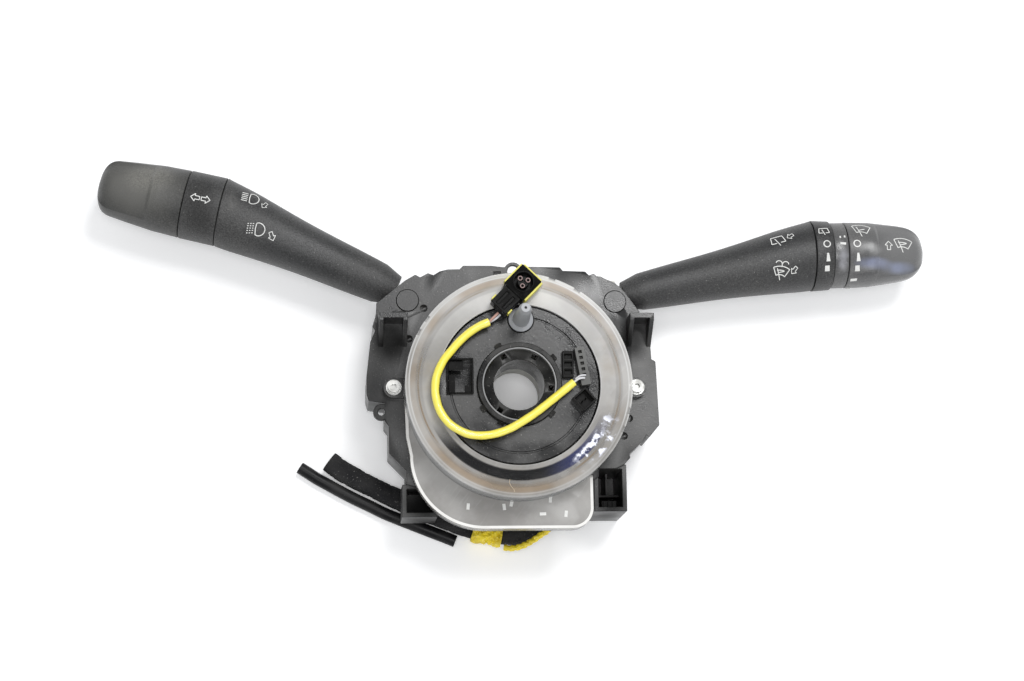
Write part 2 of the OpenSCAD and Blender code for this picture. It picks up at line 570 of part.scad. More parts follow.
module detent() {
  color([0.85, 0.85, 0.8]) translate([-6, 2.2, 0]) {
    translate([0, 0, 16.3]) cylinder(h = 4, r = 1.5);
    translate([0, 0, 16.3]) intersection() { sphere(r = 1.5); translate([-3, -3, -3]) cube([6, 6, 3]); }
  }
}

module detent_spring() {
  color([0.7, 0.7, 0.7]) translate([-6, 2.2, 20.6]) tube_path(spring_pts(1.1, 5.1, 3, 30), 0.25, 6);
}

module core() {
  color([0.65, 0.66, 0.67]) translate([0, axis_y, stalk_z]) difference() {
    rod_x(-12, 34, core_r);
    translate([tilt_x, -6, 0]) rotate([-90, 0, 0]) cylinder(h = 12, r = tilt_r + fit);
  }
}

// left arm: a cone from the crease to the elbow, a ball elbow and the spindle for the knob
left_len = norm(left_arm_end - left_pivot);
function to_left(p) = let(v = p - left_pivot) [v[0] * cos(left_turn) + v[1] * sin(left_turn), -v[0] * sin(left_turn) + v[1] * cos(left_turn)];
function to_right(p) = let(v = p - right_pivot) [v[0] * cos(right_turn) + v[1] * sin(right_turn), v[0] * sin(right_turn) - v[1] * cos(right_turn)];
left_elbow = to_left(left_arm_end);
right_elbow = to_right(right_arm_end);

module arm_body(elbow, crease_x, crease_r, head_r) {
  len = norm([elbow[0] - crease_x, elbow[1] - axis_y]);
  translate([crease_x, axis_y, stalk_z]) rotate([0, 0, atan2(elbow[1] - axis_y, elbow[0] - crease_x)])
    turned([[-8, 0], [-8, crease_r - 2.4], [0, crease_r], [len * 0.5, (crease_r + head_r) / 2 - 0.7], [len - 1, head_r - 0.6], [len - 1, 0]]);
  translate([elbow[0], elbow[1], stalk_z]) sphere(r = head_r - 0.1);
}

module arm_bore(crease_x) {
  translate([0, axis_y, stalk_z]) rod_x(0, 34, core_r + fit);
}

module left_arm() {
  color([0.13, 0.13, 0.13]) {
    difference() {
      on_left() arm_body(left_elbow, left_crease_x, 9, left_head_r);
      on_left() arm_bore(left_crease_x);
      on_left_knob() block([0, -40, -40], [60, 40, 40]);
      on_left_knob() cone_x(-14, 0.1, 8, left_head_r - 2.8);
    }
    on_left_knob() { rod_x(-15, left_band_len + 14, 6); rod_x(left_band_len + 14, left_band_len + 14.8, 4); }
  }
}

module left_band() {
  color([0.13, 0.13, 0.13]) on_left_knob() turned_ring([[0, left_head_r], [left_band_len, left_head_r - 0.1]], 6 + fit, left_band_len);
}

// a hollow ring with a web in the middle that sits on the spindle
module turned_ring(outer, bore, len) {
  difference() {
    turned(concat([[0, bore]], outer, [[len, bore]]));
    rod_x(-1, len * 0.35, outer[0][1] - 2.4);
    rod_x(len * 0.65, len + 1, outer[0][1] - 2.4);
  }
}

module left_knob() {
  l = left_knob_len;
  r = left_head_r;
  color([0.13, 0.13, 0.13]) on_left_knob() translate([left_band_len + gap, 0, 0]) difference() {
    union() {
      difference() {
        turned([[0, 0], [0, r - 0.2], [l * 0.3, r - 0.6], [l * 0.62, r - 2], [l * 0.83, r - 3.4], [l * 0.92, r - 4.8], [l * 0.975, r - 7.4], [l, r - 11], [l, 0]]);
        turned([[-1, 0], [-1, r - 2.6], [l * 0.28, r - 3], [l * 0.5, 7.5], [l * 0.5, 0]]);
      }
      rod_x(2, l * 0.5 + 1, 7.6);
    }
    rod_x(-1, 15.4, 6 + fit);
    translate([l * 0.9, 0, 49]) rotate([90, 0, 0]) cylinder(h = 60, r = 42, center = true, $fn = 180);
    translate([l * 0.9, 0, -49]) rotate([90, 0, 0]) cylinder(h = 60, r = 42, center = true, $fn = 180);
  }
}

module right_arm() {
  color([0.13, 0.13, 0.13]) {
    difference() {
      on_right() arm_body(right_elbow, right_crease_x, 8.3, right_head_r);
      on_right() arm_bore(right_crease_x);
      on_right_knob() block([0, -40, -40], [60, 40, 40]);
      on_right_knob() cone_x(-14, 0.1, 8, right_head_r - 2.8);
    }
    on_right_knob() { rod_x(-15, right_ring_len + right_index_len + 14, 6); rod_x(right_ring_len + right_index_len + 14, right_ring_len + right_index_len + 14.8, 4); }
  }
}

module right_rear_ring() {
  color([0.13, 0.13, 0.13]) on_right_knob() translate([gap, 0, 0])
    turned_ring([[0, right_head_r], [right_ring_len - gap * 2, right_head_r - 0.4]], 6 + fit, right_ring_len - gap * 2);
}

module right_index_ring() {
  color([0.13, 0.13, 0.13]) on_right_knob() translate([right_ring_len, 0, 0])
    turned_ring([[0, right_head_r - 1.2], [right_index_len, right_head_r - 1.2]], 6 + fit, right_index_len);
}

module right_end_knob() {
  l = right_knob_len;
  r = right_head_r - 1.1;
  color([0.13, 0.13, 0.13]) on_right_knob() translate([right_ring_len + right_index_len + gap, 0, 0]) difference() {
    union() {
      difference() {
        turned([[0, 0], [0, r], [l * 0.3, r - 0.5], [l * 0.66, r - 2.2], [l * 0.85, r - 3.7], [l * 0.93, r - 5.2], [l * 0.98, r - 7.8], [l, r - 11], [l, 0]]);
        turned([[-1, 0], [-1, r - 2.4], [l * 0.28, r - 2.9], [l * 0.5, 7.5], [l * 0.5, 0]]);
      }
      rod_x(2, l * 0.5 + 1, 7.6);
    }
    rod_x(-1, 15.4, 6 + fit);
    translate([l * 0.97, 0, 50]) rotate([90, 0, 0]) cylinder(h = 60, r = 42, center = true, $fn = 180);
    translate([l * 0.97, 0, -50]) rotate([90, 0, 0]) cylinder(h = 60, r = 42, center = true, $fn = 180);
  }
}

// the pawl lies on the line from the left pivot to the hub axis
pawl_turn = atan2(-left_pivot[1], -left_pivot[0]);
pawl_len = norm(left_pivot);
module pawl_way(c) {
  translate([left_pivot[0], left_pivot[1], 0]) rotate([0, 0, pawl_turn]) block([13, -2.5 - c, stalk_z + 0.6 - c], [pawl_len - cam_r - 1, 2.5 + c, stalk_z + 3.4 + c]);
}
module cancel_pawl() {
  color([0.8, 0.8, 0.76]) translate([left_pivot[0], left_pivot[1], 0]) rotate([0, 0, pawl_turn]) {
    block([15, -2.4, stalk_z + 0.7], [pawl_len - cam_r - 2.2, 2.4, stalk_z + 3.3]);
    block([22.2, -4.2, stalk_z + 0.7], [23.6, 4.2, stalk_z + 3.3]);
  }
}

module rear_connector() {
  color([0.05, 0.05, 0.05]) difference() {
    block([6.4, -55.8, 12], [22.6, -47, plate_top - 3.4]);
    for (i = [0 : 4]) block([8.3 + i * 2.54, -52, plate_top - 10], [9.6 + i * 2.54, -50.5, plate_top]);
  }
}

bundle_pts = [[-81, -25.2, 4.9], [-77.5, -27.8, 4.9], [-74, -30.2, 4.9], [-68.6, -33.3, 4.9], [-63, -36.1, 4.9], [-56.5, -39.5, 4.9], [-50, -42.5, 4.9],
  [-44, -45.3, 4.9], [-38, -47.9, 4.9], [-31.6, -50.6, 5], [-25, -53, 5.2], [-17.9, -55.4, 5.8]];
tape_pts = [[-17.1, -55.9, 6.6], [-14, -56.8, 6.6], [-10, -57.4, 6.6], [-4.5, -58.3, 6.6]];
bundle_end_pts = [[-4, -58.4, 5.4], [2, -58.6, 5.6], [7.4, -57.4, 6], [11.6, -54.8, 7.2], [14, -52.6, 9], [14.6, -51.6, 12]];
tube_pts = [[-94, -27.6, 2.8], [-90, -30.2, 2.8], [-86, -32.8, 2.8], [-81, -35.6, 2.8], [-76, -38.4, 2.8], [-69.6, -41.8, 2.8], [-63, -45, 2.8], [-56.6, -48.2, 2.8],
  [-50, -51, 2.8], [-43, -53.8, 2.8], [-36, -56.6, 2.8], [-30.4, -58.8, 2.8], [-25, -61, 2.8]];
module harness_bundle() {
  color([0.08, 0.08, 0.08]) {
    tube_path(bundle_pts, bundle_r, 10);
    tube_path(bundle_end_pts, bundle_r, 10);
  }
}
module harness_tube() { color([0.05, 0.05, 0.05]) tube_path(tube_pts, tube_r, 8); }
module harness_tape() { color([0.85, 0.7, 0.05]) tube_path(tape_pts, 6.4, 12); }
module harness_lead() { color([0.85, 0.72, 0.05]) tube_path([[-4, -64.6, 9], [0, -65, 9.4], [4, -64.2, 10.4], [8, -62.4, 11.6], [12, -59.8, 12.8], [14.4, -58.4, 14.2], [15.8, -57.3, 15.4]], 1.4, 8); }

module left_case() { on_left() switch_case(); }
module left_lid() { on_left() switch_lid(); }
module left_board() { on_left() switch_board(); }
module left_pivots() { on_left() pivot_pins(); }
module left_yoke() { on_left() yoke(); }
module left_cross_pin() { on_left() cross_pin(); }
module left_detent() { on_left() detent(); }
module left_detent_spring() { on_left() detent_spring(); }
module left_core() { on_left() core(); }
module right_case() { on_right() switch_case(); }
module right_lid() { on_right() switch_lid(); }
module right_board() { on_right() switch_board(); }
module right_pivots() { on_right() pivot_pins(); }
module right_yoke() { on_right() yoke(); }
module right_cross_pin() { on_right() cross_pin(); }
module right_detent() { on_right() detent(); }
module right_detent_spring() { on_right() detent_spring(); }
module right_core() { on_right() core(); }

carrier();
clamp_band();
clamp_screw();
clamp_nut();
module_screws();
clock_screws();
clock_base();
ribbon_wall();
clock_cover();
ribbon_cable();
rotor_disc();
rotor_hub();
hub_ring();
cancel_cam();
rotor_header();
rotor_socket();
lock_plunger();
lock_spring();
lead_sleeve();
lead_wires();
squib_connector();
squib_clip();
left_case();
left_lid();
left_board();
left_pivots();
left_yoke();
left_cross_pin();
left_detent();
left_detent_spring();
left_core();
left_arm();
left_band();
left_knob();
right_case();
right_lid();
right_board();
right_pivots();
right_yoke();
right_cross_pin();
right_detent();
right_detent_spring();
right_core();
right_arm();
right_rear_ring();
right_index_ring();
right_end_knob();
cancel_pawl();
rear_connector();
harness_bundle();
harness_tube();
harness_tape();
harness_lead();
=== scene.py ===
"""Column switch module with an airbag clock spring: looks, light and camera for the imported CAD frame."""

import logging
import math
from contextlib import contextmanager
from dataclasses import dataclass
from enum import Enum
from typing import Callable, Iterator, Sequence

import bmesh
import bpy
import numpy as np
from mathutils import Matrix, Vector


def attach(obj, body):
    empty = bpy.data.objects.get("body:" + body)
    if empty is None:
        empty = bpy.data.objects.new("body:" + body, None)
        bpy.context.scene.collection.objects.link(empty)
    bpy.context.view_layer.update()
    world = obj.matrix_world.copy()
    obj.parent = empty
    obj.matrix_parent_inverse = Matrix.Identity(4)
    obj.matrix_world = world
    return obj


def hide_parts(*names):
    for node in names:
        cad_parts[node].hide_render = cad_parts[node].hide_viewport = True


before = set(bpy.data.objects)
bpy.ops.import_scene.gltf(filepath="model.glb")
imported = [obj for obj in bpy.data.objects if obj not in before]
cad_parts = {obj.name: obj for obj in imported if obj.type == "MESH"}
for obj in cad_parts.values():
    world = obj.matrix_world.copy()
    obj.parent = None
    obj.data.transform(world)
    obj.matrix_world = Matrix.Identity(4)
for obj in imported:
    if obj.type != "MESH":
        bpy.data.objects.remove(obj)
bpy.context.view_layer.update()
LOG = logging.getLogger("scene")
MM = 0.001
Array = np.ndarray
Point = tuple[float, float, float]
Flat = tuple[float, float]
Color = tuple[float, float, float]
Stroke = Sequence[Flat]
Place = Callable[[Array], Array]
Node, NodeTree, Socket = bpy.types.Node, bpy.types.NodeTree, bpy.types.NodeSocket
Material, Object = bpy.types.Material, bpy.types.Object
Feed = Socket | float
Tint = Socket | Color
MERGE = 2e-6  # points closer than this many metres are one
BEVEL_FROM_DEG, BEVEL_SHARP_DEG = 32.0, 24.0  # edges above the first are bevelled, above the second stay sharp
SPECKS, GRAIN = 1400.0, 1500.0  # noise scales of dust specks and of the moulded grain's tint, per metre
CORD_SHARP_DEG, TAPE_SHARP_DEG = 60.0, 25.0  # cords are shaded smooth, the tape's folds stay crisp


# ---------------------------------------------------------------- meshes
def add_object(name: str, data: bpy.types.ID) -> Object:
    """Links a new object with the given mesh, light or camera to the scene."""
    obj = bpy.data.objects.new(name, data)
    bpy.context.scene.collection.objects.link(obj)
    return obj


def shaded(mesh: bpy.types.Mesh, sharp_deg: float) -> bpy.types.Mesh:
    """Shades a mesh smooth up to an angle between its faces."""
    mesh.shade_smooth()
    mesh.set_sharp_from_angle(angle=math.radians(sharp_deg))
    return mesh


def quads(rows: int, cols: int, wrap: bool) -> Array:
    """Faces of a grid of rows by cols points.

    Args:
        rows: number of rows of points.
        cols: number of points in a row.
        wrap: whether the last column joins the first.

    Returns:
        An array of four point numbers a face.
    """
    i = np.arange(rows - 1)[:, None]
    j = np.arange(cols if wrap else cols - 1)[None, :]
    k = (j + 1) % cols
    return np.stack([i * cols + j, i * cols + k, (i + 1) * cols + k, (i + 1) * cols + j], -1).reshape(-1, 4)


@contextmanager
def editing(mesh: bpy.types.Mesh) -> Iterator[bmesh.types.BMesh]:
    """Opens a mesh for editing and writes it back afterwards."""
    work = bmesh.new()
    work.from_mesh(mesh)
    yield work
    work.to_mesh(mesh)
    work.free()


def make_object(name: str, points: Array, faces: Sequence[Sequence[int]], sharp_deg: float = 35.0) -> Object:
    """Puts points in millimetres and faces into a new object, merged, turned outwards and shaded smooth.

    Args:
        name: object name.
        points: points in millimetres.
        faces: lists of point numbers.
        sharp_deg: angle above which an edge stays sharp.

    Returns:
        The new object, linked to the scene.
    """
    mesh = bpy.data.meshes.new(name)
    mesh.from_pydata((np.asarray(points, float).reshape(-1, 3) * MM).tolist(), [], [list(map(int, f)) for f in faces])
    with editing(mesh) as work:
        bmesh.ops.remove_doubles(work, verts=work.verts, dist=MERGE)
        bmesh.ops.recalc_face_normals(work, faces=work.faces)
    return add_object(name, shaded(mesh, sharp_deg))


def join_parts(name: str, parts: Sequence[tuple[Array, Array]], sharp_deg: float = 35.0) -> Object:
    """Makes one object from several (points, faces) pairs.

    Args:
        name: object name.
        parts: pairs of points in millimetres and faces.
        sharp_deg: angle above which an edge stays sharp.

    Returns:
        The joined object.
    """
    points, faces, base = [], [], 0
    for p, f in parts:
        p = np.asarray(p, float).reshape(-1, 3)
        points.append(p)
        faces.extend([[int(v) + base for v in face] for face in f])
        base += len(p)
    return make_object(name, np.concatenate(points), faces, sharp_deg)


@dataclass(frozen=True)
class Axes:
    """A local frame: an origin in millimetres and three directions.

    A local point (a, b, c) is at origin + a*x + b*y + c*z.
    """

    origin: Point
    turn_deg: float

    def matrix(self) -> Array:
        """The three directions as rows."""
        c, s = math.cos(math.radians(self.turn_deg)), math.sin(math.radians(self.turn_deg))
        return np.array([[c, s, 0.0], [-s, c, 0.0], [0.0, 0.0, 1.0]])

    def out(self, local: Array) -> Array:
        """Local points as row frame points, in millimetres."""
        return np.asarray(local, float) @ self.matrix() + np.array(self.origin)

    def into(self, points: Array) -> Array:
        """Row frame points in millimetres as local points."""
        return (np.asarray(points, float) - np.array(self.origin)) @ self.matrix().T


def lathe_x(profile: Sequence[Flat], sides: int = 96) -> tuple[Array, Array]:
    """Surface of revolution about the local x axis.

    A profile point (s, r) at angle a is (s, r cos a, r sin a).

    Args:
        profile: distance along the axis and radius, in millimetres.
        sides: points round the axis.

    Returns:
        Points and faces.
    """
    s, r = np.array(profile, float).T
    a = np.linspace(0, 2 * math.pi, sides, endpoint=False)
    points = np.stack([np.repeat(s[:, None], sides, 1), r[:, None] * np.cos(a), r[:, None] * np.sin(a)], -1)
    return points.reshape(-1, 3), quads(len(s), sides, True)


def smooth_path(points: Sequence[Point], step: float) -> Array:
    """A Catmull-Rom curve through the points, cut at even steps.

    Args:
        points: points to pass, in millimetres.
        step: distance between the samples.

    Returns:
        The samples, with both ends kept.
    """
    p = np.array(points, float)
    q = np.concatenate([[2 * p[0] - p[1]], p, [2 * p[-1] - p[-2]]])
    t = np.linspace(0, 1, 24, endpoint=False)[:, None]
    a, b, c, d = q[:-3, None], q[1:-2, None], q[2:-1, None], q[3:, None]
    fine = 0.5 * (2 * b + (c - a) * t + (2 * a - 5 * b + 4 * c - d) * t**2 + (3 * b - a - 3 * c + d) * t**3)
    fine = np.concatenate([fine.reshape(-1, 3), p[-1:]])
    along = np.concatenate([[0], np.cumsum(np.linalg.norm(np.diff(fine, axis=0), axis=1))])
    count = max(2, int(round(along[-1] / step)) + 1)
    at = np.linspace(0, along[-1], count)
    return np.stack([np.interp(at, along, fine[:, k]) for k in range(3)], -1)


def swept(path: Array, radius: Array | float, sides: int = 16) -> tuple[Array, list]:
    """A closed round tube carried along a path, kept from twisting by one fixed up direction.

    Args:
        path: centre points in millimetres.
        radius: one radius, or one for each point (or for each point and side).
        sides: points round the tube.

    Returns:
        Points and faces.
    """
    t = np.gradient(path, axis=0)
    t /= np.linalg.norm(t, axis=1, keepdims=True)
    up = np.where(np.abs(t[:, 2:]) > 0.9, [[1.0, 0.0, 0.0]], [[0.0, 0.0, 1.0]])
    side = np.cross(t, up)
    side /= np.linalg.norm(side, axis=1, keepdims=True)
    top = np.cross(side, t)
    a = np.linspace(0, 2 * math.pi, sides, endpoint=False)
    r = np.asarray(radius, float).reshape(-1, 1) if np.ndim(radius) < 2 else radius
    r = np.broadcast_to(r, (len(path), sides))[..., None]
    points = path[:, None] + r * (np.cos(a)[:, None] * side[:, None] + np.sin(a)[:, None] * top[:, None])
    last = (len(path) - 1) * sides
    faces = quads(len(path), sides, True).tolist() + [list(range(sides)), list(range(last, last + sides))]
    return points.reshape(-1, 3), faces


def box_part(low: Point, high: Point) -> tuple[Array, list]:
    """A plain box between two corners."""
    x, y, z = zip(low, high)
    points = np.array([[x[i & 1], y[i >> 1 & 1], z[i >> 2 & 1]] for i in range(8)], float)
    return points, [[0, 2, 3, 1], [4, 5, 7, 6], [0, 1, 5, 4], [2, 6, 7, 3], [0, 4, 6, 2], [1, 3, 7, 5]]


# ---------------------------------------------------------------- finishes
def node_group(name: str, inputs: dict[str, tuple[str, object]],
               outputs: dict[str, str]) -> tuple[NodeTree, Node, Node]:
    """Starts a shader node group with named sockets.

    Args:
        name: group name.
        inputs: socket name to (type, default).
        outputs: socket name to type.

    Returns:
        The group, its input node and its output node.
    """
    group = bpy.data.node_groups.new(name, "ShaderNodeTree")
    for key, (kind, default) in inputs.items():
        socket = group.interface.new_socket(name=key, in_out="INPUT", socket_type=kind)
        socket.default_value = default
    for key, kind in outputs.items():
        group.interface.new_socket(name=key, in_out="OUTPUT", socket_type=kind)
    return group, group.nodes.new("NodeGroupInput"), group.nodes.new("NodeGroupOutput")


class Wires:
    """Short calls that add and link nodes inside one node tree."""

    def __init__(self, tree: NodeTree) -> None:
        """Keeps the tree that gets the nodes."""
        self.nodes, self.links = tree.nodes, tree.links

    def where(self) -> Socket:
        """Object coordinates."""
        return self.nodes.new("ShaderNodeTexCoord").outputs["Object"]

    def feed(self, value: Feed, socket: Socket) -> None:
        """Links a socket or sets a plain number."""
        if isinstance(value, (int, float)):
            socket.default_value = value
        else:
            self.links.new(value, socket)

    def math(self, kind: str, a: Feed, b: Feed = 0.0) -> Socket:
        """One maths node."""
        n = self.nodes.new("ShaderNodeMath")
        n.operation = kind
        self.feed(a, n.inputs[0])
        self.feed(b, n.inputs[1])
        return n.outputs["Value"]

    def ramp(self, value: Socket, low: float, high: float, out_low: float = 0.0, out_high: float = 1.0,
             kind: str = "SMOOTHSTEP") -> Socket:
        """Maps low..high to out_low..out_high, held at both ends."""
        n = self.nodes.new("ShaderNodeMapRange")
        n.interpolation_type = kind
        for key, v in {"From Min": low, "From Max": high, "To Min": out_low, "To Max": out_high}.items():
            n.inputs[key].default_value = v
        self.links.new(value, n.inputs["Value"])
        return n.outputs["Result"]

    def band(self, value: Socket, low: float, high: float, soft: float) -> Socket:
        """One inside low..high and zero outside."""
        rise, fall = self.ramp(value, low - soft, low + soft), self.ramp(value, high - soft, high + soft, 1.0, 0.0)
        return self.product(rise, fall)

    def product(self, first: Feed, *others: Feed) -> Socket:
        """All values multiplied."""
        for other in others:
            first = self.math("MULTIPLY", first, other)
        return first

    def fade(self, value: Feed, mask: Socket, share: float = 1.0) -> Socket:
        """The value, lowered by a share where the mask is one."""
        return self.product(value, self.math("SUBTRACT", 1.0, self.product(mask, share)))

    def vector(self, kind: str, a: Socket, b: Sequence[float] = (0.0, 0.0, 0.0)) -> Node:
        """One vector maths node."""
        n = self.nodes.new("ShaderNodeVectorMath")
        n.operation = kind
        n.inputs[1].default_value = b
        self.links.new(a, n.inputs[0])
        return n

    def noise(self, where: Socket, scale: Feed, detail: float = 3.0) -> Socket:
        """A noise texture."""
        n = self.nodes.new("ShaderNodeTexNoise")
        self.feed(scale, n.inputs["Scale"])
        n.inputs["Detail"].default_value = detail
        self.links.new(where, n.inputs["Vector"])
        return n.outputs["Fac"]

    def blend(self, factor: Feed, a: Tint, b: Tint) -> Socket:
        """Mixes two colours."""
        n = self.nodes.new("ShaderNodeMix")
        n.data_type = "RGBA"
        self.feed(factor, n.inputs["Factor"])
        for key, v in (("A", a), ("B", b)):
            if isinstance(v, tuple):
                n.inputs[key].default_value = (*v, 1.0)
            else:
                self.links.new(v, n.inputs[key])
        return n.outputs["Result"]


def build_weathering() -> NodeTree:
    """The shared effect: dust in broad patches, fine specks and a moulded grain.

    Returns:
        A group that gives Color, Roughness and Height.
    """
    inputs = {
        "Base": ("NodeSocketColor", (0.05, 0.05, 0.05, 1)),
        "Dust": ("NodeSocketColor", (0.35, 0.34, 0.32, 1)),
        "Dust Amount": ("NodeSocketFloat", 0.15),
        "Patch Scale": ("NodeSocketFloat", 40.0),
        "Speck Amount": ("NodeSocketFloat", 0.3),
        "Roughness": ("NodeSocketFloat", 0.6),
        "Roughness Spread": ("NodeSocketFloat", 0.1),
        "Grain Scale": ("NodeSocketFloat", 2200.0),
        "Grain Tint": ("NodeSocketFloat", 0.0),
    }
    outputs = {"Color": "NodeSocketColor", "Roughness": "NodeSocketFloat", "Height": "NodeSocketFloat"}
    group, start, end = node_group("weathering", inputs, outputs)
    w, given = Wires(group), start.outputs
    where = w.where()
    patch = w.ramp(w.noise(where, given["Patch Scale"], 5.0), 0.38, 0.68, kind="LINEAR")
    speck = w.ramp(w.noise(where, SPECKS, 2.0), 0.67, 0.74, kind="LINEAR")
    grain = w.ramp(w.noise(where, GRAIN, 1.0), 0.32, 0.68, kind="LINEAR")
    dust, specks = w.math("MULTIPLY", patch, given["Dust Amount"]), w.math("MULTIPLY", speck, given["Speck Amount"])
    color = w.blend(w.math("ADD", dust, specks), given["Base"], given["Dust"])
    tint = w.math("MULTIPLY", w.math("ADD", grain, -0.5), given["Grain Tint"])
    scaled = w.vector("SCALE", color)
    w.feed(w.math("ADD", tint, 1.0), scaled.inputs["Scale"])
    spread = w.math("MULTIPLY", w.math("ADD", patch, -0.5), given["Roughness Spread"])
    w.feed(scaled.outputs["Vector"], end.inputs["Color"])
    w.feed(w.math("ADD", spread, given["Roughness"]), end.inputs["Roughness"])
    w.feed(w.noise(where, given["Grain Scale"], 1.0), end.inputs["Height"])
    return group


class Zone(Enum):
    """Rings on the cover about the hub axis: inner radius, outer radius and softness, in metres."""

    RIBBON = (0.0372, 0.0417, 0.0004)
    INNER = (0.0417, 0.0446, 0.0005)
    HOLE_RIM = (0.0345, 0.0354, 0.0002)
    STEP_RIM = (0.0470, 0.0476, 0.00015)
    OUTER_RIM = (0.0484, 0.0495, 0.0002)
    STAIN = (0.0438, 0.0472, 0.0012)
    STAIN_LINE = (0.0431, 0.0438, 0.0003)
    MOTTLE = (0.0362, 0.0436, 0.0015)
    GLINT = (0.0385, 0.0464, 0.0008)


DRUM_FOOT, DRUM_TOP = (0.0445, 0.046), (0.0565, 0.0572)  # heights where the cover's drum begins and ends, in metres


def build_haze() -> NodeTree:
    """Colour and alpha of the cover by distance from the hub axis, height and side, in metres; with painted
    highlights on the rims, painted glints, a painted blue sheen on the ribbon and painted light on its top side.

    Returns:
        The group, with outputs Color and Alpha.
    """
    group, _, end = node_group("cover_haze", {}, {"Color": "NodeSocketColor", "Alpha": "NodeSocketFloat"})
    w = Wires(group)
    where = w.where()
    split = group.nodes.new("ShaderNodeSeparateXYZ")
    w.feed(where, split.inputs["Vector"])
    x, y, z = (split.outputs[key] for key in "XYZ")
    r = w.math("SQRT", w.math("ADD", w.product(x, x), w.product(y, y)))

    def ring(zone: Zone) -> Socket:
        """One inside a ring about the hub axis."""
        return w.band(r, *zone.value)

    cloud, high, top = w.noise(where, 45.0, 5.0), w.ramp(z, *DRUM_FOOT), w.ramp(z, *DRUM_TOP)
    low_side = w.ramp(y, -0.03, -0.012, 1.0, 0.0)
    ribbon, inner = w.product(ring(Zone.RIBBON), low_side, high), w.product(ring(Zone.INNER), high)
    wall = w.fade(w.product(w.ramp(r, 0.0466, 0.0470), high), top)
    # painted highlights: pale lines along the cover's rims, weaker on the low side
    rim_highlights = w.math("MAXIMUM", w.math("MAXIMUM", ring(Zone.STEP_RIM), ring(Zone.OUTER_RIM)), ring(Zone.HOLE_RIM))
    rim_highlights = w.fade(w.product(rim_highlights, top), low_side, 0.55)
    across = w.math("SUBTRACT", w.product(x, 0.80), w.product(y, 0.60))
    along = w.math("ADD", w.product(x, 0.60), w.product(y, 0.80))
    # painted glints: a window's reflection on the drum's lower right, in colour and alpha
    glint = w.product(w.band(across, 0.036, 0.060, 0.002), w.band(along, -0.013, 0.012, 0.003), ring(Zone.GLINT), high,
                      w.ramp(w.noise(where, 240.0, 4.0), 0.52, 0.60))

    face, skirt = w.ramp(cloud, 0.3, 0.7, 0.55, 0.75), w.ramp(cloud, 0.3, 0.7, 0.66, 0.82)
    alpha = w.math("ADD", w.product(face, high), w.fade(skirt, high))
    for mask, share in ((ribbon, 0.25), (inner, 0.25), (wall, 0.3)):
        alpha = w.fade(alpha, mask, share)
    for mask, level in ((rim_highlights, 0.75), (glint, 0.95)):
        alpha = w.math("MAXIMUM", alpha, w.product(mask, level))
    w.feed(alpha, end.inputs["Alpha"])

    mottle = w.product(ring(Zone.MOTTLE), w.ramp(w.noise(where, 85.0, 6.0), 0.45, 0.7), 0.35)
    stain = w.product(ring(Zone.STAIN), high, w.ramp(w.noise(where, 30.0, 2.0), 0.36, 0.6), 0.75)
    line = w.product(ring(Zone.STAIN_LINE), w.ramp(w.noise(where, 38.0, 3.0), 0.35, 0.6), high, 0.85)
    lines = group.nodes.new("ShaderNodeCombineXYZ")
    w.feed(across, lines.inputs["X"])
    w.feed(w.product(along, 0.08), lines.inputs["Y"])
    scratch = w.ramp(w.noise(lines.outputs["Vector"], 900.0, 4.0), 0.56, 0.72, 0.0, 0.2)
    # the ribbon's own dark colour, turning to a painted blue sheen to the right
    sheen = w.blend(w.ramp(x, 0.008, 0.026), (0.006, 0.006, 0.007), (0.05, 0.06, 0.17))
    color = w.blend(w.ramp(cloud, 0.35, 0.65), (0.365, 0.352, 0.335), (0.475, 0.462, 0.445))
    for mask, tone in ((mottle, (0.40, 0.33, 0.24)), (scratch, (0.62, 0.615, 0.6)),
                       # painted light: the cover lighter towards its top side
                       (w.product(w.ramp(y, 0.004, 0.04), 0.8), (0.7, 0.69, 0.675)),
                       (w.math("MAXIMUM", stain, line), (0.33, 0.24, 0.15)), (ribbon, sheen),
                       (wall, (0.42, 0.42, 0.41)), (rim_highlights, (0.62, 0.615, 0.6)), (glint, (0.86, 0.88, 0.98))):
        color = w.blend(mask, color, tone)
    w.feed(color, end.inputs["Color"])
    return group


@dataclass(frozen=True)
class TonePatch:
    """A colour patch over a finish: an ellipsoid about a point, in millimetres. Many are painted light and shade.

    The tone is a colour or one grey level. The mottle's noise scale is per metre; 0 leaves the patch smooth.
    """

    centre: Point
    size: Point
    tone: Color | float
    amount: float
    scale: float = 0.0

    def mask(self, w: Wires) -> Socket:
        """How strongly the patch covers a place.

        Args:
            w: the material's wires.

        Returns:
            A value from zero to the patch's amount.
        """
        where = w.where()
        away = w.vector("SUBTRACT", where, [v * MM for v in self.centre]).outputs["Vector"]
        away = w.vector("DIVIDE", away, [v * MM for v in self.size]).outputs["Vector"]
        mask = w.ramp(w.vector("LENGTH", away).outputs["Value"], 0.25, 1.0, self.amount, 0.0)
        return w.product(mask, w.ramp(w.noise(where, self.scale), 0.22, 0.72)) if self.scale > 0 else mask

    def over(self, w: Wires, color: Socket) -> Socket:
        """The colour with the patch laid over it."""
        return w.blend(self.mask(w), color, self.tone if isinstance(self.tone, tuple) else (self.tone,) * 3)


def new_material(name: str, tree: NodeTree) -> tuple[Material, Node, Node, Wires]:
    """Starts a material that uses a node group.

    Args:
        name: material name.
        tree: the group.

    Returns:
        The material, its shader node, its group node and its wires.
    """
    mat = bpy.data.materials.new(name)
    mat.use_nodes = True
    group = mat.node_tree.nodes.new("ShaderNodeGroup")
    group.node_tree = tree
    return mat, mat.node_tree.nodes["Principled BSDF"], group, Wires(mat.node_tree)


